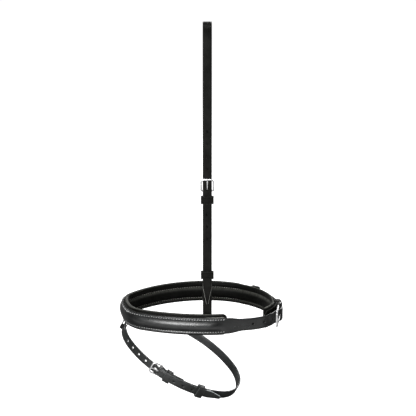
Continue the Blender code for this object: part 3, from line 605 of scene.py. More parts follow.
@dataclass(frozen=True)
class StrapLeather:
    """Smooth bridle leather: fine pores, dressed edges, a crease beside them and a painted highlight on the
    point's edges.

    The edges are lighter, partly their own tone and partly painted highlight, and the crease is darkened as
    painted shade. Places on the leather are in millimetres, and depths in metres.
    """

    name: str
    slot: Slot
    colour: Colour
    edge_and_highlight_colour: Colour
    roughness: float
    specular: float
    pore: float = 1.6
    pore_depth: float = 0.035 * MM
    crease_inset: float = 1.7
    crease_width: Span = (0.12, 0.5)
    crease_depth: float = 0.16 * MM
    edge_width: Span = (0.1, 0.7)
    point_highlight_span: Span = (18, 34)
    light_tone: float = 1.9
    point_highlight_tone: float = 12
    crease_shade_tone: float = 0.4

    def material(self) -> bpy.types.Material:
        """Builds the leather's nodes.

        Returns:
            The material.
        """
        graph = Graph(bpy.data.materials.new(self.name))
        blank = graph.attribute("blank")
        rim = graph.node("SeparateXYZ", Vector=graph.attribute("rim")).outputs
        inset = graph.sum("SUBTRACT", rim[0], graph.sum("ABSOLUTE", rim[1]))
        off_crease = graph.sum("ABSOLUTE", graph.sum("SUBTRACT", inset, self.crease_inset))
        crease = graph.fade(off_crease, *self.crease_width, 1.0, 0.0)
        edge = graph.fade(inset, *self.edge_width, 1.0, 0.0)
        pores = graph.fade(graph.cells(blank, self.pore), 0.0, 0.5)
        pull = graph.noise(blank, 0.12, 5.0)
        mottle = graph.fade(graph.noise(blank, 0.05, 3.0), 0.35, 0.7)
        face = graph.blend(mottle, toned(self.colour), toned(self.colour, self.light_tone))
        # The dressed edges are lighter, partly in their own tone and partly as painted highlight, which is
        # brightest along the point's edges.
        point = graph.fade(rim[2], *self.point_highlight_span, 1.0, 0.0)
        edge_and_highlight = graph.blend(point, toned(self.edge_and_highlight_colour), toned(self.edge_and_highlight_colour, self.point_highlight_tone))
        highlighted = graph.blend(graph.product(edge, 0.8), face, edge_and_highlight)
        # The crease is darkened as painted shade in its groove.
        colour = graph.blend(graph.product(crease, 0.7), highlighted, toned(self.colour, self.crease_shade_tone))
        normal = graph.bump(graph.add_share(pores, 1.8, pull), self.pore_depth)
        normal = graph.bump(graph.sum("SUBTRACT", 1.0, crease), self.crease_depth, normal)
        rough = graph.add_share(self.roughness - 0.06, 0.16, pull)
        rough = graph.add_share(rough, -0.06, edge)
        return graph.finish(
            Base_Color=colour, Roughness=rough, Normal=normal, Specular_IOR_Level=self.specular
        )


@dataclass(frozen=True)
class SoftLeather:
    """Soft padding leather: matt and pebbled, wrinkled across and rubbed under its seams.

    Each highlight band is the height of its top edge across the padding and its width, in millimetres. The
    bands are painted highlight on the lit upper parts of the lobes and along the top edge.
    """

    name: str
    colour: Colour
    highlight_colour: Colour
    highlight_bands: tuple[Span, ...] = ((7.4, 7.5), (-9.8, 4.0), (16.5, 2.4))
    slot: Slot = Slot.SOFT
    roughness: float = 0.5
    pebble: float = 1.1
    pebble_depth: float = 0.09 * MM
    wrinkle_depth: float = 0.6 * MM
    light_tone: float = 2.6
    pebble_shade_tone: float = 0.5

    def material(self) -> bpy.types.Material:
        """Builds the soft leather's nodes.

        Returns:
            The material.
        """
        graph = Graph(bpy.data.materials.new(self.name))
        blank = graph.attribute("blank")
        pebbles = graph.cells(blank, self.pebble)
        wrinkles = graph.noise(graph.stretched(blank, (0.5, 0.09, 0.3)), 1.0, 4.0)
        mottle = graph.noise(blank, 0.07, 4.0)
        light = toned(self.colour, self.light_tone)
        colour = graph.blend(graph.fade(mottle, 0.3, 0.75), toned(self.colour), light)
        # Painted shade between the pebbles, in the valleys of their bumps.
        pebble_shade = toned(self.colour, self.pebble_shade_tone)
        colour = graph.blend(graph.fade(pebbles, 0.35, 0.7, 0.0, 0.6), colour, pebble_shade)
        # Bands of painted highlight on the lit upper parts of the lobes and along the top edge, broken up by
        # the wrinkles.
        height = graph.product(graph.node("SeparateXYZ", Vector=blank).outputs[1], -1.0)
        highlighted = graph.fade(wrinkles, 0.25, 0.6, 0.5, 1.0)
        for top, width in self.highlight_bands:
            crest = top - 0.4
            rise = graph.sum("POWER", graph.fade(height, top - width, crest), 1.6)
            fall = graph.fade(height, crest, top + 0.2, 1.0, 0.0)
            line = graph.product(graph.product(highlighted, rise), fall)
            colour = graph.blend(line, colour, toned(self.highlight_colour))
        normal = graph.bump(graph.sum("SUBTRACT", 1.0, pebbles), self.pebble_depth)
        return graph.finish(
            Base_Color=colour,
            Roughness=graph.add_share(self.roughness - 0.05, 0.14, mottle),
            Normal=graph.bump(wrinkles, self.wrinkle_depth, normal),
            Specular_IOR_Level=0.1,
            Sheen_Weight=0.02,
            Sheen_Roughness=0.5,
        )


@dataclass(frozen=True)
class PolishedSteel:
    """Polished stainless steel with faint drawn lines and duller cloudy patches."""

    name: str
    colour: Colour = (0.88, 0.88, 0.89)
    slot: Slot = Slot.STEEL
    roughness: float = 0.26
    metallic: float = 0.72
    dull_tone: float = 0.82
    line_depth: float = 0.006 * MM

    def material(self) -> bpy.types.Material:
        """Builds the steel's nodes.

        Returns:
            The material.
        """
        graph = Graph(bpy.data.materials.new(self.name))
        blank = graph.attribute("blank")
        lines = graph.noise(graph.stretched(blank, (0.4, 9.0, 9.0)), 1.0, 5.0)
        cloud = graph.fade(graph.noise(blank, 0.5, 3.0), 0.35, 0.7)
        return graph.finish(
            Base_Color=graph.blend(cloud, toned(self.colour), toned(self.colour, self.dull_tone)),
            Roughness=graph.add_share(self.roughness - 0.05, 0.14, lines),
            Normal=graph.bump(lines, self.line_depth),
            Metallic=self.metallic,
        )


@dataclass(frozen=True)
class Thread:
    """Waxed sewing thread with its two plies laid round each other, and painted shade in the groove between
    them.
    """

    name: str
    slot: Slot
    colour: Colour
    ply_groove_shade: float = 0.45
    ply_depth: float = 0.08 * MM

    def material(self) -> bpy.types.Material:
        """Builds the thread's nodes.

        Returns:
            The material.
        """
        graph = Graph(bpy.data.materials.new(self.name))
        wave = graph.node("TexWave", Vector=graph.attribute("blank"), Scale=1.4, Distortion=1.0)
        wave.bands_direction = "DIAGONAL"
        plies = wave.outputs["Fac"]
        # The thread is darker in the groove between its plies, as painted shade.
        return graph.finish(
            Base_Color=graph.blend(plies, toned(self.colour, self.ply_groove_shade), toned(self.colour)),
            Roughness=0.5,
            Normal=graph.bump(plies, self.ply_depth),
            Sheen_Weight=0.2,
        )


# Each edge colour is partly the dressed edge's own tone and partly painted highlight.
BRIDLE = StrapLeather(
    "black_bridle_leather",
    Slot.BRIDLE,
    colour=(0.0055, 0.0055, 0.0049),
    edge_and_highlight_colour=(0.03, 0.03, 0.028),
    roughness=0.38,
    specular=0.03,
)
BAND_FACE = StrapLeather(
    "band_face_leather",
    Slot.BRIDLE,
    colour=(0.009, 0.0095, 0.0095),
    edge_and_highlight_colour=(0.035, 0.037, 0.037),
    roughness=0.28,
    specular=0.7,
)
FLASH_FACE = StrapLeather(
    "charcoal_strap_leather",
    Slot.FLASH,
    colour=(0.009, 0.0102, 0.01),
    edge_and_highlight_colour=(0.05, 0.054, 0.054),
    roughness=0.34,
    specular=0.8,
)
# The padding's own colour, then the colour of its painted highlight bands.
PADDING = SoftLeather("soft_padding_leather", (0.0016, 0.0018, 0.0013), (0.075, 0.076, 0.068))
STEEL = PolishedSteel("polished_steel")
BAND_THREAD = Thread("grey_thread", Slot.BRIDLE, (0.75, 0.76, 0.76))
SOFT_THREAD = Thread("olive_thread", Slot.SOFT, (0.8, 0.8, 0.74))
FLASH_THREAD = Thread("charcoal_thread", Slot.FLASH, (0.12, 0.125, 0.125))
Finish = StrapLeather | SoftLeather | PolishedSteel | Thread
MATERIALS: dict[str, bpy.types.Material] = {}


def dress(piece: Piece, finish: Finish, body: Body, *nodes: str) -> None:
    """Gives a piece its finish, its body and the solids that it stands for.

    Args:
        piece: The piece, already in place.
        finish: Its finish.
        body: The body that it moves with.
        nodes: The solids that it replaces.
    """
    if finish.name not in MATERIALS:
        MATERIALS[finish.name] = finish.material()
    piece.data.materials.clear()
    piece.data.materials.append(MATERIALS[finish.name])
    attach(piece, body.value)
    if nodes:
        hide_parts(*nodes)
    LOG.info("%s: %d faces, on %s", piece.name, len(piece.data.polygons), body.value)


def new_piece(name: str, data: bpy.types.ID) -> Piece:
    """Puts a mesh, curve, camera or lamp into the scene.

    Args:
        name: The name of the piece.
        data: The mesh, curve, camera or lamp itself.

    Returns:
        The piece.
    """
    piece = bpy.data.objects.new(name, data)
    bpy.context.scene.collection.objects.link(piece)
    return piece


def finish_piece(name: str, shape: Shape, sharp: float | None = None) -> Piece:
    """Turns an edited mesh into a smooth-shaded piece.

    Args:
        name: The name of the piece.
        shape: The mesh, which is used up.
        sharp: Degrees from which an edge stays sharp, if any does.

    Returns:
        The piece.
    """
    mesh = bpy.data.meshes.new(name)
    shape.to_mesh(mesh)
    shape.free()
    mesh.shade_smooth()
    if sharp is not None:
        mesh.set_sharp_from_angle(angle=math.radians(sharp))
    return new_piece(name, mesh)


def curve_mesh(curve: bpy.types.Curve) -> Shape:
    """The welded mesh of a curve.

    Args:
        curve: The curve, with its bevel and fill set.

    Returns:
        A mesh that is free to edit.
    """
    stand_in = new_piece(curve.name + "_curve", curve)
    graph = bpy.context.evaluated_depsgraph_get()
    mesh = bpy.data.meshes.new_from_object(stand_in.evaluated_get(graph))
    bpy.data.objects.remove(stand_in)
    bpy.data.curves.remove(curve)
    welded = bmesh.new()
    welded.from_mesh(mesh)
    bpy.data.meshes.remove(mesh)
    bmesh.ops.remove_doubles(welded, verts=welded.verts, dist=WELD)
    bmesh.ops.recalc_face_normals(welded, faces=welded.faces)
    return welded


def add_spline(curve: bpy.types.Curve, points: list[Point], closed: bool) -> None:
    """Adds one chain of points to a curve.

    Args:
        curve: The curve that takes it.
        points: The chain's points.
        closed: Whether its last point joins its first.
    """
    spline = curve.splines.new("POLY")
    spline.points.add(len(points) - 1)
    for point, place in zip(spline.points, points):
        point.co = (*place, 1)
    spline.use_cyclic_u = closed


def plate(name: str, loops: list[Loop], thickness: float, edge: float) -> Shape:
    """A flat plate with rounded edges.

    Args:
        name: A name for the curve it is cut from.
        loops: The outline, and the holes after it.
        thickness: The plate's thickness.
        edge: The edges' radius.

    Returns:
        The plate's mesh.
    """
    curve = bpy.data.curves.new(name, "CURVE")
    curve.dimensions = "2D"
    curve.fill_mode = "BOTH"
    curve.extrude = thickness / 2 - edge
    curve.bevel_depth = edge
    curve.bevel_resolution = 2
    curve.offset = -edge
    for loop in loops:
        add_spline(curve, [(x, y, 0) for x, y in loop], True)
    return curve_mesh(curve)


def score(blank: Shape, axis: Vector, places: list[float], beyond: float | None = None) -> None:
    """Cuts a blank's faces along lines.

    Args:
        blank: The blank.
        axis: The direction that the lines lie across.
        places: Where the lines lie.
        beyond: Only faces past this place are cut, if it is given.
    """
    for place in places:
        faces = [face for face in blank.faces if beyond is None or face.calc_center_median().x > beyond]
        edges = {edge for face in faces for edge in face.edges}
        vertices = {vertex for face in faces for vertex in face.verts}
        geometry = faces + list(edges) + list(vertices)
        bmesh.ops.bisect_plane(blank, geom=geometry, dist=WELD, plane_co=axis * place, plane_no=axis)


def layer(shape: Shape, name: str) -> bmesh.types.BMLayerItem:
    """The vectors that a mesh keeps at its points under a name, made if they aren't there."""
    layers = shape.verts.layers.float_vector
    return layers.get(name) or layers.new(name)


def lay(blank: Shape, place: Place, rim: Place | None = None) -> None:
    """Moves a flat blank's points into place, and keeps where they were for the finish.

    Args:
        blank: The blank.
        place: Gives the point in space.
        rim: Gives half the width, the distance off the middle line and that from the tip.
    """
    flat = layer(blank, "blank")
    side = layer(blank, "rim") if rim else None
    for vertex in blank.verts:
        spot = vertex.co.copy()
        vertex[flat] = spot / MM
        if rim:
            vertex[side] = rim(*spot) / MM
        vertex.co = place(*spot)


def add_tube(shape: Shape, rings: list[list[Vector]], place: Place, rim: Place | None = None) -> None:
    """Adds a closed tube through rings of flat points, each moved into place.

    Args:
        shape: The mesh that takes the tube.
        rings: The rings, with as many points in each.
        place: Gives the point in space.
        rim: Gives what the leather's finish asks for, as lay has it.
    """
    flat = layer(shape, "blank")
    side = layer(shape, "rim") if rim else None
    made = []
    for ring in rings:
        vertices = [shape.verts.new(place(*spot)) for spot in ring]
        for vertex, spot in zip(vertices, ring):
            vertex[flat] = spot / MM
            if rim:
                vertex[side] = rim(*spot) / MM
        made.append(vertices)
    for low, high in zip(made, made[1:]):
        for index, vertex in enumerate(low):
            later = (index + 1) % len(low)
            shape.faces.new((vertex, high[index], high[later], low[later]))
    shape.faces.new(list(reversed(made[0])))
    shape.faces.new(made[-1])


def split_large_faces(shape: Shape) -> None:
    """Cuts the faces with more than four corners into triangles, before they are bent."""
    bmesh.ops.triangulate(shape, faces=[face for face in shape.faces if len(face.verts) > 4])


@dataclass
class Strap:
    """A leather strap that is cut flat and then put in place."""

    name: str
    loops: list[Loop]
    thickness: float
    cuts: list[float]
    place: Place
    half_width: Width
    shift: float = 0.0
    lanes: list[float] = field(default_factory=list)
    lanes_beyond: float | None = None
    edge: float = 0.75 * MM

    def build(self) -> Piece:
        """Cuts, scores and bends the blank.

        Returns:
            The strap, with its flat places kept for its finish.
        """

        def rim(x: float, y: float, z: float) -> Vector:
            """Half the width, the place off the middle line and the distance from the tip."""
            return Vector((self.half_width(x), y - self.shift, x))

        blank = plate(self.name, self.loops, self.thickness, self.edge)
        score(blank, Vector((1, 0, 0)), sorted(set(self.cuts)))
        score(blank, Vector((0, 1, 0)), self.lanes, self.lanes_beyond)
        split_large_faces(blank)
        lay(blank, self.place, rim)
        return finish_piece(self.name, blank, SHARP_LEATHER)


def rounded_rectangle(low: Vector, high: Vector, radii: tuple[float, ...], steps: int) -> Loop:
    """A loop round a rectangle with round corners.

    Args:
        low: The lowest corner.
        high: The highest corner.
        radii: The four corners' radii, from the highest corner on and to the left.
        steps: Chords in each corner.

    Returns:
        The loop's points.
    """
    loop = []
    middle = (low + high) / 2
    corners = ((high.x, high.y), (low.x, high.y), (low.x, low.y), (high.x, low.y))
    for quarter, ((x, y), radius) in enumerate(zip(corners, radii)):
        middle_x = x - math.copysign(radius, x - middle.x)
        middle_y = y - math.copysign(radius, y - middle.y)
        for angle in spread(quarter * math.pi / 2, (quarter + 1) * math.pi / 2, steps):
            loop.append((middle_x + radius * math.cos(angle), middle_y + radius * math.sin(angle)))
    return loop


@dataclass
class LeatherLoop:
    """A keeper or runner: a leather ring set square to a strap's path."""

    name: str
    path: StrapPath
    along: float
    width: float
    low: float
    high: float
    fit: float = LOOP_FIT
    thickness: float = 2.1 * MM
    length: float = 10.5 * MM
    shift: float = 0.0
    drawn_in: float = 0.5 * MM
    inside_corner: float = 0.5 * MM
    outside_corner: float = 1.6 * MM
    corner_steps: int = 6
    bend_steps: int = 8
    edge: float = 0.5 * MM

    def outlines(self) -> list[Loop]:
        """The ring's outside and inside.

        Returns:
            The two loops.
        """
        half = self.width / 2 + LOOP_FIT
        low = Vector((-half, self.low - self.fit))
        high = Vector((half, self.high + self.fit))
        wall = Vector((self.thickness, self.thickness))
        corner = min(self.outside_corner, self.thickness)
        soft = self.drawn_in + self.thickness if self.drawn_in > corner else corner
        inside = (self.drawn_in, self.drawn_in, self.inside_corner, self.inside_corner)
        outside = (soft, soft, corner, corner)
        outer = rounded_rectangle(low - wall, high + wall, outside, self.corner_steps)
        return [outer, rounded_rectangle(low, high, inside, self.corner_steps)]

    def build(self) -> Piece:
        """Cuts the ring and sets it on the path.

        Returns:
            The loop.
        """
        ring = plate(self.name, self.outlines(), self.length, self.edge)
        half = self.length / 2
        score(ring, Vector((0, 0, 1)), spread(-half, half, self.bend_steps)[1:-1])
        split_large_faces(ring)
        upright = Matrix(((0, 0, 1), (1, 0, 0), (0, 1, 0))).to_4x4()
        matrix = self.path.frame(self.along, 0) @ Matrix.Translation((0, self.shift, 0)) @ upright
        # Keeps the painted highlight of a strap's point off the loop.
        far_from_tip = 10 * self.length
        lay(ring, lambda *spot: matrix @ Vector(spot), lambda x, y, z: Vector((half, z, far_from_tip)))
        return finish_piece(self.name, ring, SHARP_LEATHER)


@dataclass
class Buckle:
    """A steel wire frame on its bar, and its tongue with an open eye round the bar.

    The frame's corners are given in radii of its wire.
    """

    name: str
    matrix: Matrix
    length: float
    strap_width: float
    wire: float
    tongue_wire: float
    play: float = 1.1 * MM
    outer_corner: float = 3.4
    inner_corner: float = 1.2
    corner_steps: int = 10
    eye_steps: int = 24
    shank_steps: int = 8
    wire_steps: int = 5

    def wire_piece(self, part: str, points: list[Point], radius: float, body: Body) -> None:
        """Builds one round wire of the buckle and gives it the steel.

        Args:
            part: "frame" for the closed ring, or "tongue" for the open wire.
            points: The wire's middle line, in the buckle's own frame.
            radius: The wire's radius.
            body: The body that it moves with.
        """
        name = f"{self.name}_{part}"
        closed = part == "frame"
        curve = bpy.data.curves.new(name, "CURVE")
        curve.dimensions = "3D"
        curve.bevel_depth = radius
        curve.bevel_resolution = self.wire_steps
        curve.use_fill_caps = not closed
        add_spline(curve, points, closed)
        wire = curve_mesh(curve)
        lay(wire, lambda *spot: self.matrix @ Vector(spot))
        dress(finish_piece(name + "_steel", wire, SHARP_STEEL), STEEL, body, name)

    def build(self, frame_body: Body, tongue_body: Body) -> None:
        """Builds the frame, with large round corners ahead and small ones at its bar, and the tongue.

        Args:
            frame_body: The body of the frame.
            tongue_body: The body of the tongue.
        """
        half = self.strap_width / 2 + self.play + self.wire
        outer, inner = self.outer_corner * self.wire, self.inner_corner * self.wire
        radii = (outer, inner, inner, outer)
        ring = rounded_rectangle(Vector((0, -half)), Vector((self.length, half)), radii, self.corner_steps)
        self.wire_piece("frame", [(x, y, 0) for x, y in ring], self.wire, frame_body)
        reach = self.wire + GAP + self.tongue_wire
        eye = spread(2 * math.pi, math.pi / 2, self.eye_steps)
        points = [(reach * math.cos(angle), 0, reach * math.sin(angle)) for angle in eye]
        points += [(x, 0, reach) for x in spread(0, self.length + self.wire, self.shank_steps)[1:]]
        self.wire_piece("tongue", points, self.tongue_wire, tongue_body)


@dataclass
class StitchRow:
    """A row of stitches, each a short thread that dips into the leather at both ends.

    Half a stitch's length is a share of the pitch, and its rise, dip and thinning are shares of
    the thread's radius.
    """

    place: Place
    start: float
    end: float
    across: float
    up: float = 0.0
    pitch: float = 3.0 * MM
    radius: float = 0.32 * MM
    slant: float = 0.18 * MM
    half_length: float = 0.26
    rise: float = 0.35
    dip: float = 0.9
    thinning: float = 0.75
    sides: int = 6
    shares: tuple[float, ...] = (-1, -0.72, -0.3, 0.3, 0.72, 1)

    def ring(self, middle: float, share: float, pitch: float) -> list[Vector]:
        """The flat points round a stitch.

        Args:
            middle: Where the stitch's middle lies along the row.
            share: How far off its middle the ring is, from -1 to 1.
            pitch: The distance between two stitches.

        Returns:
            The points.
        """
        thin = self.radius * math.sqrt(1 - self.thinning * share * share)
        x = middle + share * pitch * self.half_length
        y = self.across + share * self.slant
        z = self.up + self.radius * (self.rise - self.dip * share * share)
        angles = spread(0, 2 * math.pi, self.sides)[:-1]
        return [Vector((x, y + thin * math.cos(angle), z + thin * math.sin(angle))) for angle in angles]

    def add_to(self, mesh: Shape) -> None:
        """Adds the row's stitches to a mesh.

        Args:
            mesh: The mesh that takes them.
        """
        count = max(round((self.end - self.start) / self.pitch), 1)
        pitch = (self.end - self.start) / count
        for index in range(count):
            middle = self.start + (index + 0.5) * pitch
            rings = [self.ring(middle, share, pitch) for share in self.shares]
            add_tube(mesh, rings, self.place)


def sew(name: str, rows: list[StitchRow], thread: Thread, body: Body) -> None:
    """Joins rows of stitches into one piece.

    Args:
        name: The piece's name.
        rows: The rows.
        thread: The finish of the thread.
        body: The body that the stitches move with.
    """
    sewn = bmesh.new()
    for row in rows:
        row.add_to(sewn)
    bmesh.ops.recalc_face_normals(sewn, faces=sewn.faces)
    dress(finish_piece(name, sewn), thread, body)


@dataclass
class NoseBandSizes:
    """The nose band's oval and the stack of leathers on it."""

    drop: float = 423 * MM
    nose_reach: float = 123 * MM
    chin_reach: float = 100.2 * MM
    near_bulge: float = 79.8 * MM
    far_bulge: float = 72.4 * MM
    chin_near_bulge: float = 63 * MM
    near_nose_bends: Span = (24, 24)
    near_corner: float = 38 * MM
    far_nose_bends: Span = (53, 37)
    far_chin_bends: Span = (45, 45)
    near_chin_bends: Span = (19, 27)
    chin_corner: float = 69.5 * MM
    lining_height: float = 32 * MM
    lining_corner: float = 7 * MM
    lining_end: Span = (-2.5 * MM, 7 * MM)
    lining_end_length: float = 8 * MM
    lining_end_steps: int = 8
    lining_pitch: float = 2.6 * MM
    lobe_thick: float = 6.4 * MM
    wide_lobe: float = 10 * MM
    wide_lobe_steps: int = 12
    narrow_lobe_steps: int = 8
    roll_steps: int = 5
    narrow_lobe_share: float = 0.94
    soft_power: float = 2.1
    seam_thick: float = 2.5 * MM
    roll_radius: float = 2.2 * MM
    uneven_size: Span = (16 * MM, 9 * MM)
    uneven_depth: float = 0.28 * MM
    slack: float = 0.12 * MM
    pucker_size: Span = (3.4 * MM, 14 * MM)
    pucker_depth: float = 0.8 * MM
    stitch_top: float = 9.3 * MM
    stitch_bottom: float = -9.3 * MM
    stitch_pitch: float = 3.7 * MM
    facing_thread: float = 0.48 * MM
    lining_thread: float = 0.45 * MM
    lining_stitch_up: float = 0.5 * MM
    seam_inset: float = 4 * MM
    lining_seam_inset: float = 6 * MM
    lining_seam_top: float = 6.4 * MM
    lining_seam_bottom: float = -10.6 * MM
    backing_height: float = 25 * MM
    backing_thick: float = 1.5 * MM
    backing_inset: float = 2 * MM
    backing_corner: float = 5 * MM
    backing_edge: float = 0.5 * MM
    facing_height: float = 24 * MM
    facing_thick: float = 2.2 * MM
    facing_drop: float = 0.6 * MM
    facing_corner: float = 5 * MM
    bend_pitch: float = 3 * MM
    backing_pitch: float = 3.5 * MM
    crown_lanes: tuple[float, ...] = (0, 0.3, 0.55, 0.74, 0.88, 0.96, 1, 1.04)
    filler_rise: float = 3.2 * MM
    filler_fade: float = 22 * MM
    groove_depth: float = 0.35 * MM
    groove_width: float = 0.7 * MM
    near_pad_end: float = 29 * MM
    chin_pad_end: float = 88.5 * MM
    billet_width: float = 18.5 * MM
    billet_neck: float = 22 * MM
    billet_neck_steps: int = 12
    billet_holes: int = 7
    billet_used_hole: int = 3
    billet_pitch: float = 16.3 * MM
    billet_hole: float = 3 * MM
    billet_stretch: float = 7.7 * MM
    # The discs of painted shade in the unused billet holes.
    shade_disc_thick: float = 0.5 * MM
    shade_disc_lap: float = 0.2 * MM
    billet_first_hole: float = 60 * MM
    billet_taper: float = 24 * MM
    billet_tip_width: float = 6 * MM
    onto_return: Span = (-34 * MM, -24 * MM)
    onto_fold: Span = (-10.5 * MM, -3 * MM)
    off_fold: Span = (1.5 * MM, 20 * MM)
    bow_out: Span = (6 * MM, 24 * MM)
    bow_back: Span = (32 * MM, 75 * MM)
    billet_bow: float = 4.3 * MM
    chin_pivot_past_apex: float = 10.5 * MM
    chin_frame_length: float = 27 * MM
    chin_frame_tilt: float = math.radians(7)
    chape_thick: float = 2.0 * MM
    chape_back: float = 50 * MM
    chape_shorter: float = 27 * MM
    chape_corner: float = 3 * MM
    chape_edge: float = 0.6 * MM
    chin_hole_ahead: float = 6.1 * MM
    chin_keeper_back: float = 16 * MM
    chin_runner_back: float = 84 * MM
    chin_loop_thick: float = 1.3 * MM
    chin_loop_corner: float = 4 * MM
    chin_press_room: float = 12 * MM
    chin_press_fade: float = 10 * MM
    chin_wire: float = 1.4 * MM
    chin_tongue_wire: float = 1.1 * MM
    loop_length: float = 10.5 * MM


@dataclass
class NoseBand:
    """The padded nose band with its billet, chin buckle and loops."""

    sizes: NoseBandSizes = field(default_factory=NoseBandSizes)

    def __post_init__(self) -> None:
        """Lays out the path, the heights of the stack, and where the seams and lobes lie."""
        s = self.sizes
        near_nose = oval_quarter(s.nose_reach, s.near_bulge, s.near_nose_bends, s.near_corner)
        far_nose = oval_quarter(s.nose_reach, s.far_bulge, s.far_nose_bends)
        chin_far_bulge = s.near_bulge + s.far_bulge - s.chin_near_bulge
        far_chin = oval_quarter(s.chin_reach, chin_far_bulge, s.far_chin_bends)
        near_chin = oval_quarter(s.chin_reach, s.chin_near_bulge, s.near_chin_bends, s.chin_corner)
        runs = near_nose + far_nose[::-1] + far_chin + near_chin[::-1]
        self.half_depth = (s.near_bulge + s.far_bulge) / 2
        self.axis = Vector((0, 0, -s.drop))
        start = Vector((0, -self.half_depth))
        self.path = StrapPath(self.axis, Vector((1, 0, 0)), Vector((0, 1, 0)), start, math.pi, runs, True)
        self.length = self.path.length
        self.pivot = self.length - run_length(near_chin) + s.chin_pivot_past_apex
        self.pad_start = -s.near_pad_end
        self.pad_end = self.length - s.chin_pad_end
        self.facing_end = self.pivot - s.chape_back
        self.press_start = self.pivot - s.chin_runner_back - s.loop_length / 2 - s.chin_press_room
        self.press_end = self.pivot - s.chin_keeper_back + s.loop_length / 2 + GAP
        self.backing_up = GAP + s.backing_thick / 2
        self.backing_top = GAP + s.backing_thick
        self.facing_up = self.backing_top + GAP + s.facing_thick / 2
        self.over_crown = s.facing_thick + GAP + s.filler_rise
        self.over_chape = s.chape_thick + GAP
        self.over_return = 2 * (s.chape_thick + GAP)
        self.over_fold = 2 * (s.chin_wire + GAP + s.chape_thick) + GAP
        self.upper_seam = -s.stitch_top
        self.lower_seam = -s.stitch_bottom
        self.lining_seams = (-s.lining_seam_top, -s.lining_seam_bottom)
        half = s.lining_height / 2
        self.lobes = list(zip((-half, *self.lining_seams), (*self.lining_seams, half)))
        self.lobe_places = []
        for low, high in self.lobes:
            steps = s.wide_lobe_steps if high - low > s.wide_lobe else s.narrow_lobe_steps
            turns = spread(0, math.pi, steps)[:-1]
            self.lobe_places += [low + (high - low) * (1 - math.cos(turn)) / 2 for turn in turns]
        self.lobe_places.append(half)
        self.seam_middle = (self.upper_seam + self.lower_seam) / 2
        self.seam_half = (self.lower_seam - self.upper_seam) / 2
        shares = [-share for share in reversed(s.crown_lanes[1:])] + list(s.crown_lanes)
        self.lanes = [self.seam_middle + self.seam_half * share for share in shares]

    def crown(self, along: float, across: float) -> float:
        """How far the facing is raised over the filler.

        Args:
            along: The place along the band.
            across: The place across it.

        Returns:
            The rise.
        """
        s = self.sizes
        share = (across - self.seam_middle) / self.seam_half
        ends = smooth_step(along, self.pad_start, self.pad_start + s.filler_fade)
        ends *= 1 - smooth_step(along, self.facing_end - s.filler_fade, self.facing_end)
        return s.filler_rise * max(1 - abs(share) ** s.soft_power, 0) * ends

    def groove(self, along: float, across: float) -> float:
        """How far the stitches draw the facing in beside the crown.

        Args:
            along: The place along the band.
            across: The place across it.

        Returns:
            The change of height, which is negative.
        """
        s = self.sizes
        nearest = min(abs(across - self.upper_seam), abs(across - self.lower_seam))
        ends = smooth_step(along, self.pad_start, self.pad_start + s.filler_fade / 2)
        return -s.groove_depth * math.exp(-((nearest / s.groove_width) ** 2)) * ends

    def billet_lift(self, along: float) -> float:
        """How far the billet lies off the band.

        Args:
            along: The place along the band.

        Returns:
            The height over its own place in the stack.
        """
        s = self.sizes
        past = along - (self.pivot - self.length)
        off_crown = (-s.chape_back - s.filler_fade, -s.chape_back)
        rise = self.over_crown + (self.over_chape - self.over_crown) * smooth_step(past, *off_crown)
        rise += (self.over_return - self.over_chape) * smooth_step(past, *s.onto_return)
        rise += (self.over_fold - self.over_return) * smooth_step(past, *s.onto_fold)
        bow = smooth_step(past, *s.bow_out) * (1 - smooth_step(past, *s.bow_back))
        return rise * (1 - smooth_step(past, *s.off_fold)) + s.billet_bow * bow

    def facing_place(self, along: float, across: float, z: float) -> Vector:
        """A point of the facing, or of the billet that it narrows into.

        Args:
            along: The place along the band.
            across: The place across it.
            z: The height over the leather's middle.

        Returns:
            The point in space.
        """
        up = self.facing_up + z + self.crown(along, across) + self.billet_lift(along)
        if z > 0:
            up += self.groove(along, across)
        return self.path.place(along, across, up)

    def build_facing(self) -> None:
        """Cuts the facing with its billet, and sews it down along the padding."""
        s = self.sizes
        pivot = self.pivot - self.length
        tip = pivot + s.chin_hole_ahead - s.billet_first_hole - s.billet_used_hole * s.billet_pitch
        length = self.facing_end - tip
        neck_end = self.pad_start - tip
        neck_start = neck_end - s.billet_neck

        def half_width(x: float) -> float:
            """Half the width: the billet's point, its neck and the facing's end.

            Args:
                x: The distance from the tip.

            Returns:
                Half the width there.
            """
            billet = point_half_width(x, s.billet_width, s.billet_taper, s.billet_tip_width)
            wide = (s.facing_height - s.billet_width) / 2 * smooth_step(x, neck_start, neck_end)
            return min(billet + wide, end_half_width(x, length, s.facing_height, s.facing_corner))

        places = point_stations(s.billet_taper, s.billet_tip_width)
        places += spread(neck_start, neck_end, s.billet_neck_steps)
        places += end_stations(length, s.facing_corner)[:-1]
        loops = [outline(places, half_width, s.facing_drop)]
        for index in range(s.billet_holes):
            stretch = s.billet_stretch if index == s.billet_used_hole else 0.0
            x = s.billet_first_hole + index * s.billet_pitch
            loops.append(hole(x, s.billet_hole, stretch, s.facing_drop))
        facing = Strap(
            "nose_facing_leather",
            loops,
            s.facing_thick,
            stations(0, length, s.bend_pitch)[1:-1],
            lambda x, y, z: self.facing_place(tip + x, y, z),
            half_width,
            s.facing_drop,
            self.lanes,
            neck_end - s.seam_inset,
        ).build()
        dress(facing, BAND_FACE, Body.NOSE_BAND, "nose_facing", "nose_filler")
        ends = (self.pad_start + s.seam_inset, self.facing_end - s.seam_inset)
        rows = [
            StitchRow(self.facing_place, *ends, across, s.facing_thick / 2, s.stitch_pitch, s.facing_thread)
            for across in (self.upper_seam, self.lower_seam)
        ]
        sew("nose_facing_stitches", rows, BAND_THREAD, Body.NOSE_BAND)
        self.build_hole_shade_discs(tip)

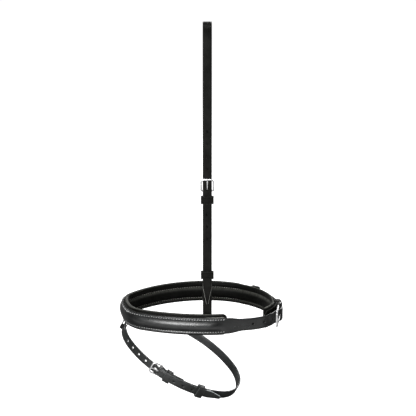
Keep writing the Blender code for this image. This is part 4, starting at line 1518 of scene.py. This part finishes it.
    def build_hole_shade_discs(self, tip: float) -> None:
        """Closes the unused billet holes with thin black discs at their foot, which stand in for the shade
        seen through the holes.

        Args:
            tip: Where the billet's tip lies on the path.
        """
        s = self.sizes
        # Black discs as painted shade in the holes.
        shade_discs = bmesh.new()
        foot = -s.facing_thick / 2
        for index in range(s.billet_holes):
            if index == s.billet_used_hole:
                continue
            middle = s.billet_first_hole + index * s.billet_pitch
            loop = hole(middle, s.billet_hole + s.shade_disc_lap, 0.0, s.facing_drop)
            rings = [[Vector((x, y, z)) for x, y in loop] for z in (foot, foot + s.shade_disc_thick)]
            add_tube(
                shade_discs,
                rings,
                lambda x, y, z: self.facing_place(tip + x, y, z),
                lambda x, y, z: Vector((s.billet_width / 2, 0, x)),
            )
        bmesh.ops.recalc_face_normals(shade_discs, faces=shade_discs.faces)
        dress(finish_piece("billet_hole_shade_discs", shade_discs, FACETED), BRIDLE, Body.NOSE_BAND)

    def lobe_depth(self, across: float) -> float:
        """Thickness of the lining: three soft lobes between its edges and its two seams.

        Args:
            across: The place across the lining.

        Returns:
            The thickness there.
        """
        s = self.sizes
        half = s.lining_height / 2
        low, high = next(lobe for lobe in self.lobes if across <= lobe[1] + WELD)
        share = min(abs(2 * across - low - high) / (high - low), 1)
        full = s.lobe_thick if high - low > s.wide_lobe else s.lobe_thick * s.narrow_lobe_share
        floor = s.roll_radius if abs(across) > half - (high - low) / 2 else s.seam_thick
        return floor + (full - floor) * math.sqrt(1 - share**s.soft_power)

    def soft_depth(self, along: float, across: float) -> float:
        """The lining's thickness with the slight unevenness of hand-sewn padding.

        Args:
            along: The place along the lining.
            across: The place across it.

        Returns:
            The thickness there.
        """

        def cloud(size: Span, seed: float) -> float:
            """Noise of a size along and across the lining."""
            return noise.noise(Vector((along / size[0], across / size[1], seed)))

        s = self.sizes
        full = self.lobe_depth(across)
        fullness = (full - s.seam_thick) / (s.lobe_thick - s.seam_thick)
        uneven = cloud(s.uneven_size, 3.0)
        pucker = cloud(s.pucker_size, 9.0)
        swell = fullness * (s.uneven_depth * uneven - s.slack)
        return full + swell + (1 - fullness) * fullness * s.pucker_depth * pucker

    def press(self, along: float) -> float:
        """How far the lining is pressed in to make room for the chin loops.

        Args:
            along: The place along the lining.

        Returns:
            The depth, measured from the path.
        """
        s = self.sizes
        pressed = smooth_step(along, self.press_start - s.chin_press_fade, self.press_start)
        pressed *= 1 - smooth_step(along, self.press_end, self.press_end + s.chin_press_fade)
        return (s.chin_loop_thick + LOOP_FIT) * pressed

    def lining_stations(self) -> list[float]:
        """Places along the lining, closer together at its round ends.

        Returns:
            The places.
        """
        s = self.sizes
        near = s.lining_end_length
        inside = stations(self.pad_start + near, self.pad_end - near, s.lining_pitch)
        steps = [share * share * near for share in spread(0, 1, s.lining_end_steps)[:-1]]
        start = [self.pad_start + step for step in steps]
        return start + inside + [self.pad_end - step for step in reversed(steps)]

    def lining_ring(self, along: float) -> list[Vector]:
        """Flat points round the lining: over its lobes, and back under its two rolled edges.

        Args:
            along: The place along the lining.

        Returns:
            The points, with the depth as the third number.
        """
        s = self.sizes
        half = s.lining_height / 2
        half_width = strip_half_width(self.pad_start, self.pad_end, s.lining_height, s.lining_corner)
        narrow = half_width(along) / half
        ends = math.sqrt(smooth_step(min(along - self.pad_start, self.pad_end - along), *s.lining_end))
        outer = self.press(along)
        ring = []
        for across in self.lobe_places:
            depth = max(self.soft_depth(along, across) * ends, outer + s.roll_radius)
            ring.append(Vector((along, across * narrow, depth)))
        turns = spread(0, math.pi / 2, s.roll_steps)[1:]
        for side, angles in ((1, turns), (-1, turns[::-1])):
            for angle in angles:
                across = side * (half * narrow - s.roll_radius * (1 - math.cos(angle)))
                ring.append(Vector((along, across, outer + s.roll_radius * (1 - math.sin(angle)))))
        return ring

    def build_lining(self) -> None:
        """Builds the padded lining as a closed skin of soft lobes, and sews its two seams."""
        s = self.sizes

        def over_seam(along: float, across: float, z: float) -> Vector:
            """A point over the lining's seams, on the side of the muzzle."""
            return self.path.place(along, across, -(s.seam_thick + z))

        skin = bmesh.new()
        rings = [self.lining_ring(along) for along in self.lining_stations()]
        add_tube(skin, rings, lambda along, across, depth: self.path.place(along, across, -depth))
        bmesh.ops.recalc_face_normals(skin, faces=skin.faces)
        lining = finish_piece("nose_lining_padding", skin)
        dress(lining, PADDING, Body.NOSE_BAND, "nose_lining")
        ends = (self.pad_start + s.lining_seam_inset, self.pad_end - s.lining_seam_inset)
        rows = [
            StitchRow(over_seam, *ends, across, s.lining_stitch_up, s.stitch_pitch, s.lining_thread)
            for across in self.lining_seams
        ]
        sew("nose_lining_stitches", rows, SOFT_THREAD, Body.NOSE_BAND)

    def build_backing(self) -> None:
        """Cuts the strap that joins the padding and the facing."""
        s = self.sizes
        start = self.pad_start + s.backing_inset
        length = self.pad_end - s.backing_inset - start
        backing = Strap(
            "nose_backing_leather",
            [rounded_strip(0, length, s.backing_height, s.backing_corner, s.facing_drop)],
            s.backing_thick,
            stations(0, length, s.backing_pitch)[1:-1],
            lambda x, y, z: self.path.place(start + x, y, self.backing_up + z),
            strip_half_width(0, length, s.backing_height, s.backing_corner),
            s.facing_drop,
            edge=s.backing_edge,
        ).build()
        dress(backing, BRIDLE, Body.NOSE_BAND, "nose_backing")

    def build_chape(self) -> None:
        """Builds the fold at the chin and its buckle."""
        s = self.sizes
        up = self.backing_top + GAP + s.chape_thick / 2
        fold = Fold(self.path, self.pivot, up, s.chape_thick, s.chin_wire, True)
        returned = s.chape_back - s.chape_shorter
        under = s.chape_back - GAP
        length = under + fold.round_bar + returned
        chape = Strap(
            "chin_chape_leather",
            [
                rounded_strip(0, length, s.billet_width, s.chape_corner, s.facing_drop),
                fold.slot(s.chin_tongue_wire, under, s.facing_drop),
            ],
            s.chape_thick,
            [under + cut for cut in fold.cuts(self.pivot - under, returned, s.bend_pitch)],
            lambda x, y, z: fold.place(x - under, y, z),
            strip_half_width(0, length, s.billet_width, s.chape_corner),
            s.facing_drop,
            edge=s.chape_edge,
        ).build()
        dress(chape, BRIDLE, Body.NOSE_BAND, "chin_chape")
        matrix = self.path.frame(self.pivot, fold.bar_up) @ Matrix.Translation((0, s.facing_drop, 0))
        matrix = matrix @ Matrix.Rotation(-s.chin_frame_tilt, 4, "Y")
        wires = (s.chin_wire, s.chin_tongue_wire)
        buckle = Buckle("chin_buckle", matrix, s.chin_frame_length, s.billet_width, *wires)
        buckle.build(Body.CHIN_FRAME, Body.CHIN_TONGUE)

    def build_loops(self) -> None:
        """Builds the keeper and the runner for the billet's point."""
        s = self.sizes
        top = self.facing_up + s.facing_thick / 2
        for name, back, over, body in (
            ("chin_keeper", s.chin_keeper_back, self.over_return, Body.NOSE_BAND),
            ("chin_runner", s.chin_runner_back, self.over_crown, Body.CHIN_RUNNER),
        ):
            loop = LeatherLoop(
                name + "_leather",
                self.path,
                self.pivot - back,
                s.backing_height,
                GAP,
                top + over,
                thickness=s.chin_loop_thick,
                drawn_in=s.chin_loop_corner,
                shift=s.facing_drop,
            )
            dress(loop.build(), BRIDLE, body, name)

    def build(self) -> None:
        """Builds every piece of the nose band."""
        self.build_lining()
        self.build_backing()
        self.build_facing()
        self.build_chape()
        self.build_loops()


# Where a strap comes down off its own fold, measured from the bar.
CROSSING: Span = (-1 * MM, 12 * MM)


def crossing(along: float, pivot: float, height: float) -> float:
    """How far a strap lies out from its path as it comes over its own fold at a pivot."""
    return height * (1 - smooth_step(along - pivot, *CROSSING))


class BuckledStrap:
    """What the two long straps share: a point with holes, a fold round a bar, and a buckle."""

    path: StrapPath
    pivot: float
    width: float
    thick: float
    pitch: float
    next_below: float
    next_above: float
    hole_width: float
    taper: float
    tip_width: float
    tip_below: float
    corner: float
    frame_length: float
    turnback: float
    wire: float
    tongue_wire: float

    def place_tip(self) -> None:
        """Works out where the hole in use and the strap's tip lie on the path."""
        self.used_hole = self.pivot + TONGUE_HOLE_SHARE * self.frame_length
        self.tip = self.used_hole - self.next_below - (HOLES_EACH_WAY - 1) * self.pitch - self.tip_below

    def fold(self) -> Fold:
        """The fold of the strap's end round the buckle's bar."""
        return Fold(self.path, self.pivot, 0.0, self.thick, self.wire, False)

    def blank(self, length: float, *slots: Loop) -> tuple[list[Loop], Width]:
        """The strap's outline with its holes, and its width.

        Args:
            length: The blank's length.
            slots: Slots that are cut too.

        Returns:
            The loops, and a function from a place to half the width there.
        """

        def half_width(x: float) -> float:
            """Half the width, from the point to the square end."""
            pointed = point_half_width(x, self.width, self.taper, self.tip_width)
            return min(pointed, end_half_width(x, length, self.width, self.corner))

        places = point_stations(self.taper, self.tip_width) + end_stations(length, self.corner)[:-1]
        used = self.used_hole - self.tip
        holes = hole_row(used, self.next_below, self.next_above, self.pitch, self.hole_width)
        return [outline(places, half_width), *slots, *holes], half_width

    def build_buckle(self, name: str, frame_body: Body, tongue_body: Body) -> None:
        """Builds the buckle, leaning out so that its outer bar just clears the strap under it.

        Args:
            name: The buckle's name.
            frame_body: The body of its frame.
            tongue_body: The body of its tongue.
        """
        bar_up = self.fold().bar_up
        tilt = math.asin((self.thick / 2 + GAP + self.wire - bar_up) / self.frame_length)
        matrix = self.path.frame(self.pivot, bar_up) @ Matrix.Rotation(-tilt, 4, "Y")
        buckle = Buckle(name, matrix, self.frame_length, self.width, self.wire, self.tongue_wire)
        buckle.build(frame_body, tongue_body)

    def sew_turnback(self, name: str, keeper_back: float, thread: Thread, body: Body) -> None:
        """Sews the turned-back end up to its keeper, on the side that lies on the horse.

        Args:
            name: The stitches' name.
            keeper_back: How far the keeper lies behind the bar.
            thread: The thread's finish.
            body: The body that they move with.
        """

        def under(along: float, across: float, z: float) -> Vector:
            """A point on the turned-back layer's inner face."""
            return self.path.place(along, across, -(self.thick * 1.5 + GAP) - z)

        ends = (self.pivot - self.turnback + SEAM_FROM_END, self.pivot - keeper_back - SEAM_FROM_KEEPER)
        sew(name, [StitchRow(under, *ends, side * SEAM_OFF_MIDDLE) for side in (-1, 1)], thread, body)


@dataclass
class Headpiece(BuckledStrap):
    """The strap over the poll, the cheek strap that it buckles to, and their loops."""

    band: NoseBand
    width: float = 13 * MM
    thick: float = 2.4 * MM
    bend_pitch: float = 4 * MM
    crown_flat: float = 9 * MM
    crown_radius: float = 13 * MM
    cheek_bend: float = 150 * MM
    sewn_length: float = 24 * MM
    cheek_play: float = 0.7 * MM
    pitch: float = 17.5 * MM
    next_below: float = 21.6 * MM
    next_above: float = 25.8 * MM
    hole_width: float = 3.2 * MM
    taper: float = 24 * MM
    tip_width: float = 3.6 * MM
    tip_below: float = 95 * MM
    corner: float = 3 * MM
    pivot_down: float = 246 * MM
    frame_length: float = 17 * MM
    keeper_drop: float = 12.8 * MM
    runner_drop: float = 121 * MM
    turnback: float = 40 * MM
    wire: float = 1.15 * MM
    tongue_wire: float = 0.85 * MM

    def __post_init__(self) -> None:
        """Lays out the path: up the near side, over the poll and down the far side."""
        sizes = self.band.sizes
        side = self.band.half_depth - sizes.lobe_thick - self.cheek_play - self.thick / 2
        foot = -sizes.drop + sizes.lining_height / 2 - self.sewn_length
        upright = self.sewn_length + self.width / 2
        crown_centre = Vector((-self.crown_flat / 2, self.thick / 2 - self.crown_radius))
        cheek_centre = Vector((self.cheek_bend - side, foot + upright))
        between = crown_centre - cheek_centre
        closing = self.crown_radius - self.cheek_bend
        straight = math.sqrt(between.length_squared - closing * closing)
        heading = math.atan2(between.y, between.x) + math.atan2(closing, straight)
        cheek = (self.cheek_bend * (math.pi / 2 - heading), self.cheek_bend)
        rise = [(upright, None), cheek, (straight, None), (self.crown_radius * heading, self.crown_radius)]
        runs = rise + [(self.crown_flat, None)] + rise[::-1]
        start = Vector((-side, foot))
        self.path = StrapPath(Vector(), Vector((0, 1, 0)), Vector((0, 0, 1)), start, math.pi / 2, runs)
        self.pivot = run_length(rise) + self.crown_flat / 2 - self.pivot_down
        self.place_tip()

    def build_strap(self) -> None:
        """Cuts the long strap with its holes and its point."""

        def place(x: float, y: float, z: float) -> Vector:
            """A point of the strap, which lies over the fold and then on the path."""
            along = self.tip + x
            return self.path.place(along, y, crossing(along, self.pivot, self.thick + GAP) + z)

        length = self.path.length - self.tip
        loops, half_width = self.blank(length)
        cuts = stations(0, length, self.bend_pitch)[1:-1]
        strap = Strap("headpiece_leather", loops, self.thick, cuts, place, half_width).build()
        dress(strap, BRIDLE, Body.HEADPIECE, "headpiece_strap")

    def build_cheek(self) -> None:
        """Cuts the cheek strap and folds it round the buckle's bar."""
        fold = self.fold()
        length = self.pivot + fold.round_bar + self.turnback
        cheek = Strap(
            "cheek_leather",
            [rounded_strip(0, length, self.width, self.corner), fold.slot(self.tongue_wire, self.pivot)],
            self.thick,
            [self.pivot + cut for cut in fold.cuts(0, self.turnback, self.bend_pitch)],
            lambda x, y, z: fold.place(x - self.pivot, y, z),
            strip_half_width(0, length, self.width, self.corner),
        ).build()
        dress(cheek, BRIDLE, Body.HEADPIECE, "cheek_strap")

    def build_loops(self) -> None:
        """Builds the keeper under the buckle and the runner on the strap's point."""
        top = self.thick * 1.5 + GAP
        for name, drop, low, body in (
            ("head_keeper", self.keeper_drop, -top, Body.HEADPIECE),
            ("head_runner", self.runner_drop, -self.thick / 2, Body.HEAD_RUNNER),
        ):
            loop = LeatherLoop(name + "_leather", self.path, self.pivot - drop, self.width, low, top)
            dress(loop.build(), BRIDLE, body, name)

    def build(self) -> None:
        """Builds every piece of the headpiece."""
        self.build_strap()
        self.build_cheek()
        self.build_buckle("head_buckle", Body.HEAD_FRAME, Body.HEAD_TONGUE)
        self.build_loops()
        self.sew_turnback("cheek_stitches", self.keeper_drop, BAND_THREAD, Body.HEADPIECE)


@dataclass
class FlashStrap(BuckledStrap):
    """The thin strap under the nose band, its buckle, its loops and the loop that carries it."""

    band: NoseBand
    behind_nose: float = 0.2 * MM
    beside: float = 2.7 * MM
    below_lining: float = 10.2 * MM
    slope: float = math.radians(27.3)
    roll: float = math.radians(11)
    turn: float = math.radians(-7.7)
    reach: float = 96.6 * MM
    bulge: float = 72.2 * MM
    bends: Span = (40, 50)
    width: float = 13 * MM
    thick: float = 2.3 * MM
    bend_pitch: float = 3 * MM
    pitch: float = 14.5 * MM
    next_below: float = 15.2 * MM
    next_above: float = 21 * MM
    hole_width: float = 3.2 * MM
    tip_below: float = 44.5 * MM
    taper: float = 17 * MM
    tip_width: float = 6.5 * MM
    corner: float = 2.5 * MM
    pivot_back: float = 115 * MM
    frame_length: float = 14.5 * MM
    turnback: float = 38 * MM
    keeper_back: float = 14 * MM
    keeper_thick: float = 1.2 * MM
    runner_back: float = 66 * MM
    runner_thick: float = 2.1 * MM
    tail_spring: float = 4.5 * MM
    tail_free: float = 22 * MM
    wire: float = 1.15 * MM
    tongue_wire: float = 0.85 * MM
    carrier_length: float = 14 * MM
    carrier_room: float = 1.9 * MM
    carrier_thick: float = 1.5 * MM

    def __post_init__(self) -> None:
        """Lays out the hoop, which starts at the nose and goes round the far side first."""
        tilt = Matrix.Rotation(self.slope, 3, "Y") @ Matrix.Rotation(self.roll, 3, "X")
        tilt = tilt @ Matrix.Rotation(self.turn, 3, "Z")
        quarter = oval_quarter(self.reach, self.bulge, self.bends)
        runs = (quarter[::-1] + quarter) * 2
        ahead, aside = tilt @ Vector((1, 0, 0)), tilt @ Vector((0, 1, 0))
        sizes = self.band.sizes
        front = self.band.axis - Vector((sizes.nose_reach, 0, sizes.lining_height / 2))
        front += Vector((self.behind_nose, self.beside, -self.below_lining))
        self.path = StrapPath(front, ahead, aside, Vector((0, 0)), math.pi / 2, runs, True)
        self.pivot = self.path.length - self.pivot_back
        self.place_tip()

    def build_strap(self) -> None:
        """Cuts the strap, bends it into its hoop and folds its end round the buckle's bar."""
        fold = self.fold()
        to_start = self.path.length - self.tip
        to_fold = to_start + self.pivot
        length = to_fold + fold.round_bar + self.turnback

        def place(x: float, y: float, z: float) -> Vector:
            """A point of the strap: over its own fold first, and under it at its end.

            Args:
                x: The distance from the tip.
                y: The distance across the strap.
                z: The height over the strap's middle.

            Returns:
                The point in space.
            """
            if x < to_start:
                along = self.tip + x
                free = max(1 - x / self.tail_free, 0)
                up = crossing(along, self.pivot, self.thick + GAP) + self.tail_spring * free * free
                return self.path.place(along, y, up + z)
            return fold.place(x - to_fold, y, z)

        loops, half_width = self.blank(length, fold.slot(self.tongue_wire, to_fold))
        cuts = stations(0, to_start, self.bend_pitch)[1:]
        cuts += [to_fold + cut for cut in fold.cuts(0, self.turnback, self.bend_pitch)]
        strap = Strap("flash_leather", loops, self.thick, cuts, place, half_width).build()
        dress(strap, FLASH_FACE, Body.FLASH, "flash_strap")

    def build_loops(self) -> None:
        """Builds the keeper, the runner and the loop under the nose that carries the strap."""
        half = self.thick / 2
        top = self.thick * 1.5 + GAP
        for name, back, low, body, thickness in (
            ("flash_keeper", self.keeper_back, -top, Body.FLASH, self.keeper_thick),
            ("flash_runner", self.runner_back, -half, Body.FLASH_RUNNER, self.runner_thick),
        ):
            place = self.pivot - back
            loop = LeatherLoop(name + "_leather", self.path, place, self.width, low, top, thickness=thickness)
            dress(loop.build(), FLASH_FACE, body, name)
        carrier = LeatherLoop(
            "flash_loop_leather",
            self.path,
            0.0,
            self.width,
            -half,
            half,
            self.carrier_room,
            self.carrier_thick,
            self.carrier_length,
        )
        dress(carrier.build(), BRIDLE, Body.FLASH_LOOP, "flash_loop")

    def build(self) -> None:
        """Builds every piece of the flash strap."""
        self.build_strap()
        self.build_buckle("flash_buckle", Body.FLASH_FRAME, Body.FLASH_TONGUE)
        self.build_loops()
        self.sew_turnback("flash_stitches", self.keeper_back, FLASH_THREAD, Body.FLASH)


@dataclass
class Studio:
    """The camera, the floor and the light round the part.

    What shiny surfaces mirror is dim in front of the part and light behind it. A bright strip
    of the floor close in front gives the low straps their sheen.
    """

    elevation: float = math.radians(16)
    distance: float = 2.0
    target: Vector = field(default_factory=lambda: Vector((0.001, 0, -0.2695)))
    focal: float = 118.56
    sensor: float = 36
    sight: float = 100
    floor_height: float = -0.75
    floor_size: float = 12.0
    floor_grey: float = 0.82
    floor_glow: float = 0.85
    table_front: Span = (0.0, 0.6)
    card_front: Span = (-0.85, -0.7)
    card_back: Span = (-0.45, -0.3)
    wall_rise: Span = (0.2, 0.8)
    sky_light: float = 0.22
    room_light: float = 0.04
    mirrored_light: float = 0.18
    lamp_aim: float = -0.1

    def build_camera(self) -> None:
        """Sets the camera at the photograph's angle."""
        data = bpy.data.cameras.new("camera")
        data.sensor_width = self.sensor
        data.lens = self.focal
        data.clip_end = self.sight
        camera = new_piece("camera", data)
        back = Vector((0, -math.cos(self.elevation), math.sin(self.elevation)))
        camera.location = self.target + back * self.distance
        camera.rotation_euler = (math.pi / 2 - self.elevation, 0, 0)
        bpy.context.scene.camera = camera

    def build_floor(self) -> None:
        """Lays the pale floor, which shows white and still takes the part's shadow."""
        plane = bmesh.new()
        bmesh.ops.create_grid(plane, x_segments=4, y_segments=4, size=self.floor_size / 2)
        floor = finish_piece("floor", plane)
        floor.location.z = self.floor_height
        graph = Graph(bpy.data.materials.new("pale_floor"))
        graph.finish(Base_Color=toned((self.floor_grey,) * 3), Roughness=0.9, Specular_IOR_Level=0.1)
        ray = graph.node("LightPath").outputs
        place = graph.node("SeparateXYZ", Vector=graph.node("NewGeometry").outputs["Position"]).outputs
        direct = graph.sum("MAXIMUM", ray["Is Camera Ray"], ray["Is Transmission Ray"])
        glow = graph.node("Emission", Strength=graph.product(direct, self.floor_glow))
        table = graph.fade(place["Y"], *self.table_front, self.room_light, self.mirrored_light)
        card = graph.fade(place["Y"], *self.card_front)
        card = graph.product(card, graph.fade(place["Y"], *self.card_back, 1.0, 0.0))
        mirrored = graph.node("Emission", Strength=graph.sum("MAXIMUM", table, card))
        both = graph.node("AddShader")
        pick = graph.node("MixShader", Fac=ray["Is Glossy Ray"])
        surface = graph.tree.nodes["Material Output"].inputs["Surface"]
        for socket, value in (
            (both.inputs[0], graph.shader.outputs[0]),
            (both.inputs[1], glow.outputs[0]),
            (pick.inputs[1], both.outputs[0]),
            (pick.inputs[2], mirrored.outputs[0]),
            (surface, pick.outputs[0]),
        ):
            graph.feed(socket, value)
        floor.data.materials.append(graph.owner)

    def build_world(self) -> None:
        """Makes the sky a soft even light that shows as white."""
        graph = Graph(bpy.data.worlds.new("studio"), "Background")
        ray = graph.node("LightPath").outputs
        place = graph.node("SeparateXYZ", Vector=graph.node("TexCoord").outputs["Generated"]).outputs
        wall = graph.fade(place["Y"], *self.wall_rise, self.room_light, self.mirrored_light)
        strength = graph.choose(ray["Is Glossy Ray"], self.sky_light, wall)
        strength = graph.choose(ray["Is Transmission Ray"], strength, 1.0)
        strength = graph.choose(ray["Is Camera Ray"], strength, 1.0)
        bpy.context.scene.world = graph.finish(Strength=strength, Color=(1, 1, 1, 1))

    def add_lamp(self, name: str, place: Vector, size: Span, power: float) -> None:
        """Adds a soft box that points at the part.

        Args:
            name: The lamp's name.
            place: Where it hangs.
            size: Its width and height.
            power: Its power in watts.
        """
        data = bpy.data.lights.new(name, "AREA")
        data.shape = "RECTANGLE"
        data.size, data.size_y = size
        data.energy = power
        lamp = new_piece(name, data)
        lamp.location = place
        lamp.rotation_mode = "QUATERNION"
        aim = self.target + Vector((0, 0, self.lamp_aim)) - place
        lamp.rotation_quaternion = aim.to_track_quat("-Z", "Y")

    def build(self) -> None:
        """Sets up the camera, the floor and the lights."""
        self.build_camera()
        self.build_floor()
        self.build_world()
        self.add_lamp("front_light", Vector((-0.85, -2.35, -0.06)), (1.2, 0.9), 58)
        self.add_lamp("top_light", Vector((-0.1, -0.1, 1.3)), (1.2, 0.6), 22)
        self.add_lamp("rim_light", Vector((-1.3, 1.16, 0.54)), (0.5, 0.35), 9)
        self.add_lamp("back_light", Vector((0.8, 2.4, 0.55)), (1.4, 0.8), 20)
        bpy.context.scene.view_settings.view_transform = "Standard"


def main() -> None:
    """Builds the stage and every piece; dressing each piece logs its face count."""
    logging.basicConfig(level=logging.INFO, format="%(message)s")
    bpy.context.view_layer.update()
    Studio().build()
    band = NoseBand()
    Headpiece(band).build()
    band.build()
    FlashStrap(band).build()
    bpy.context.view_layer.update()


if __name__ == "__main__":
    main()
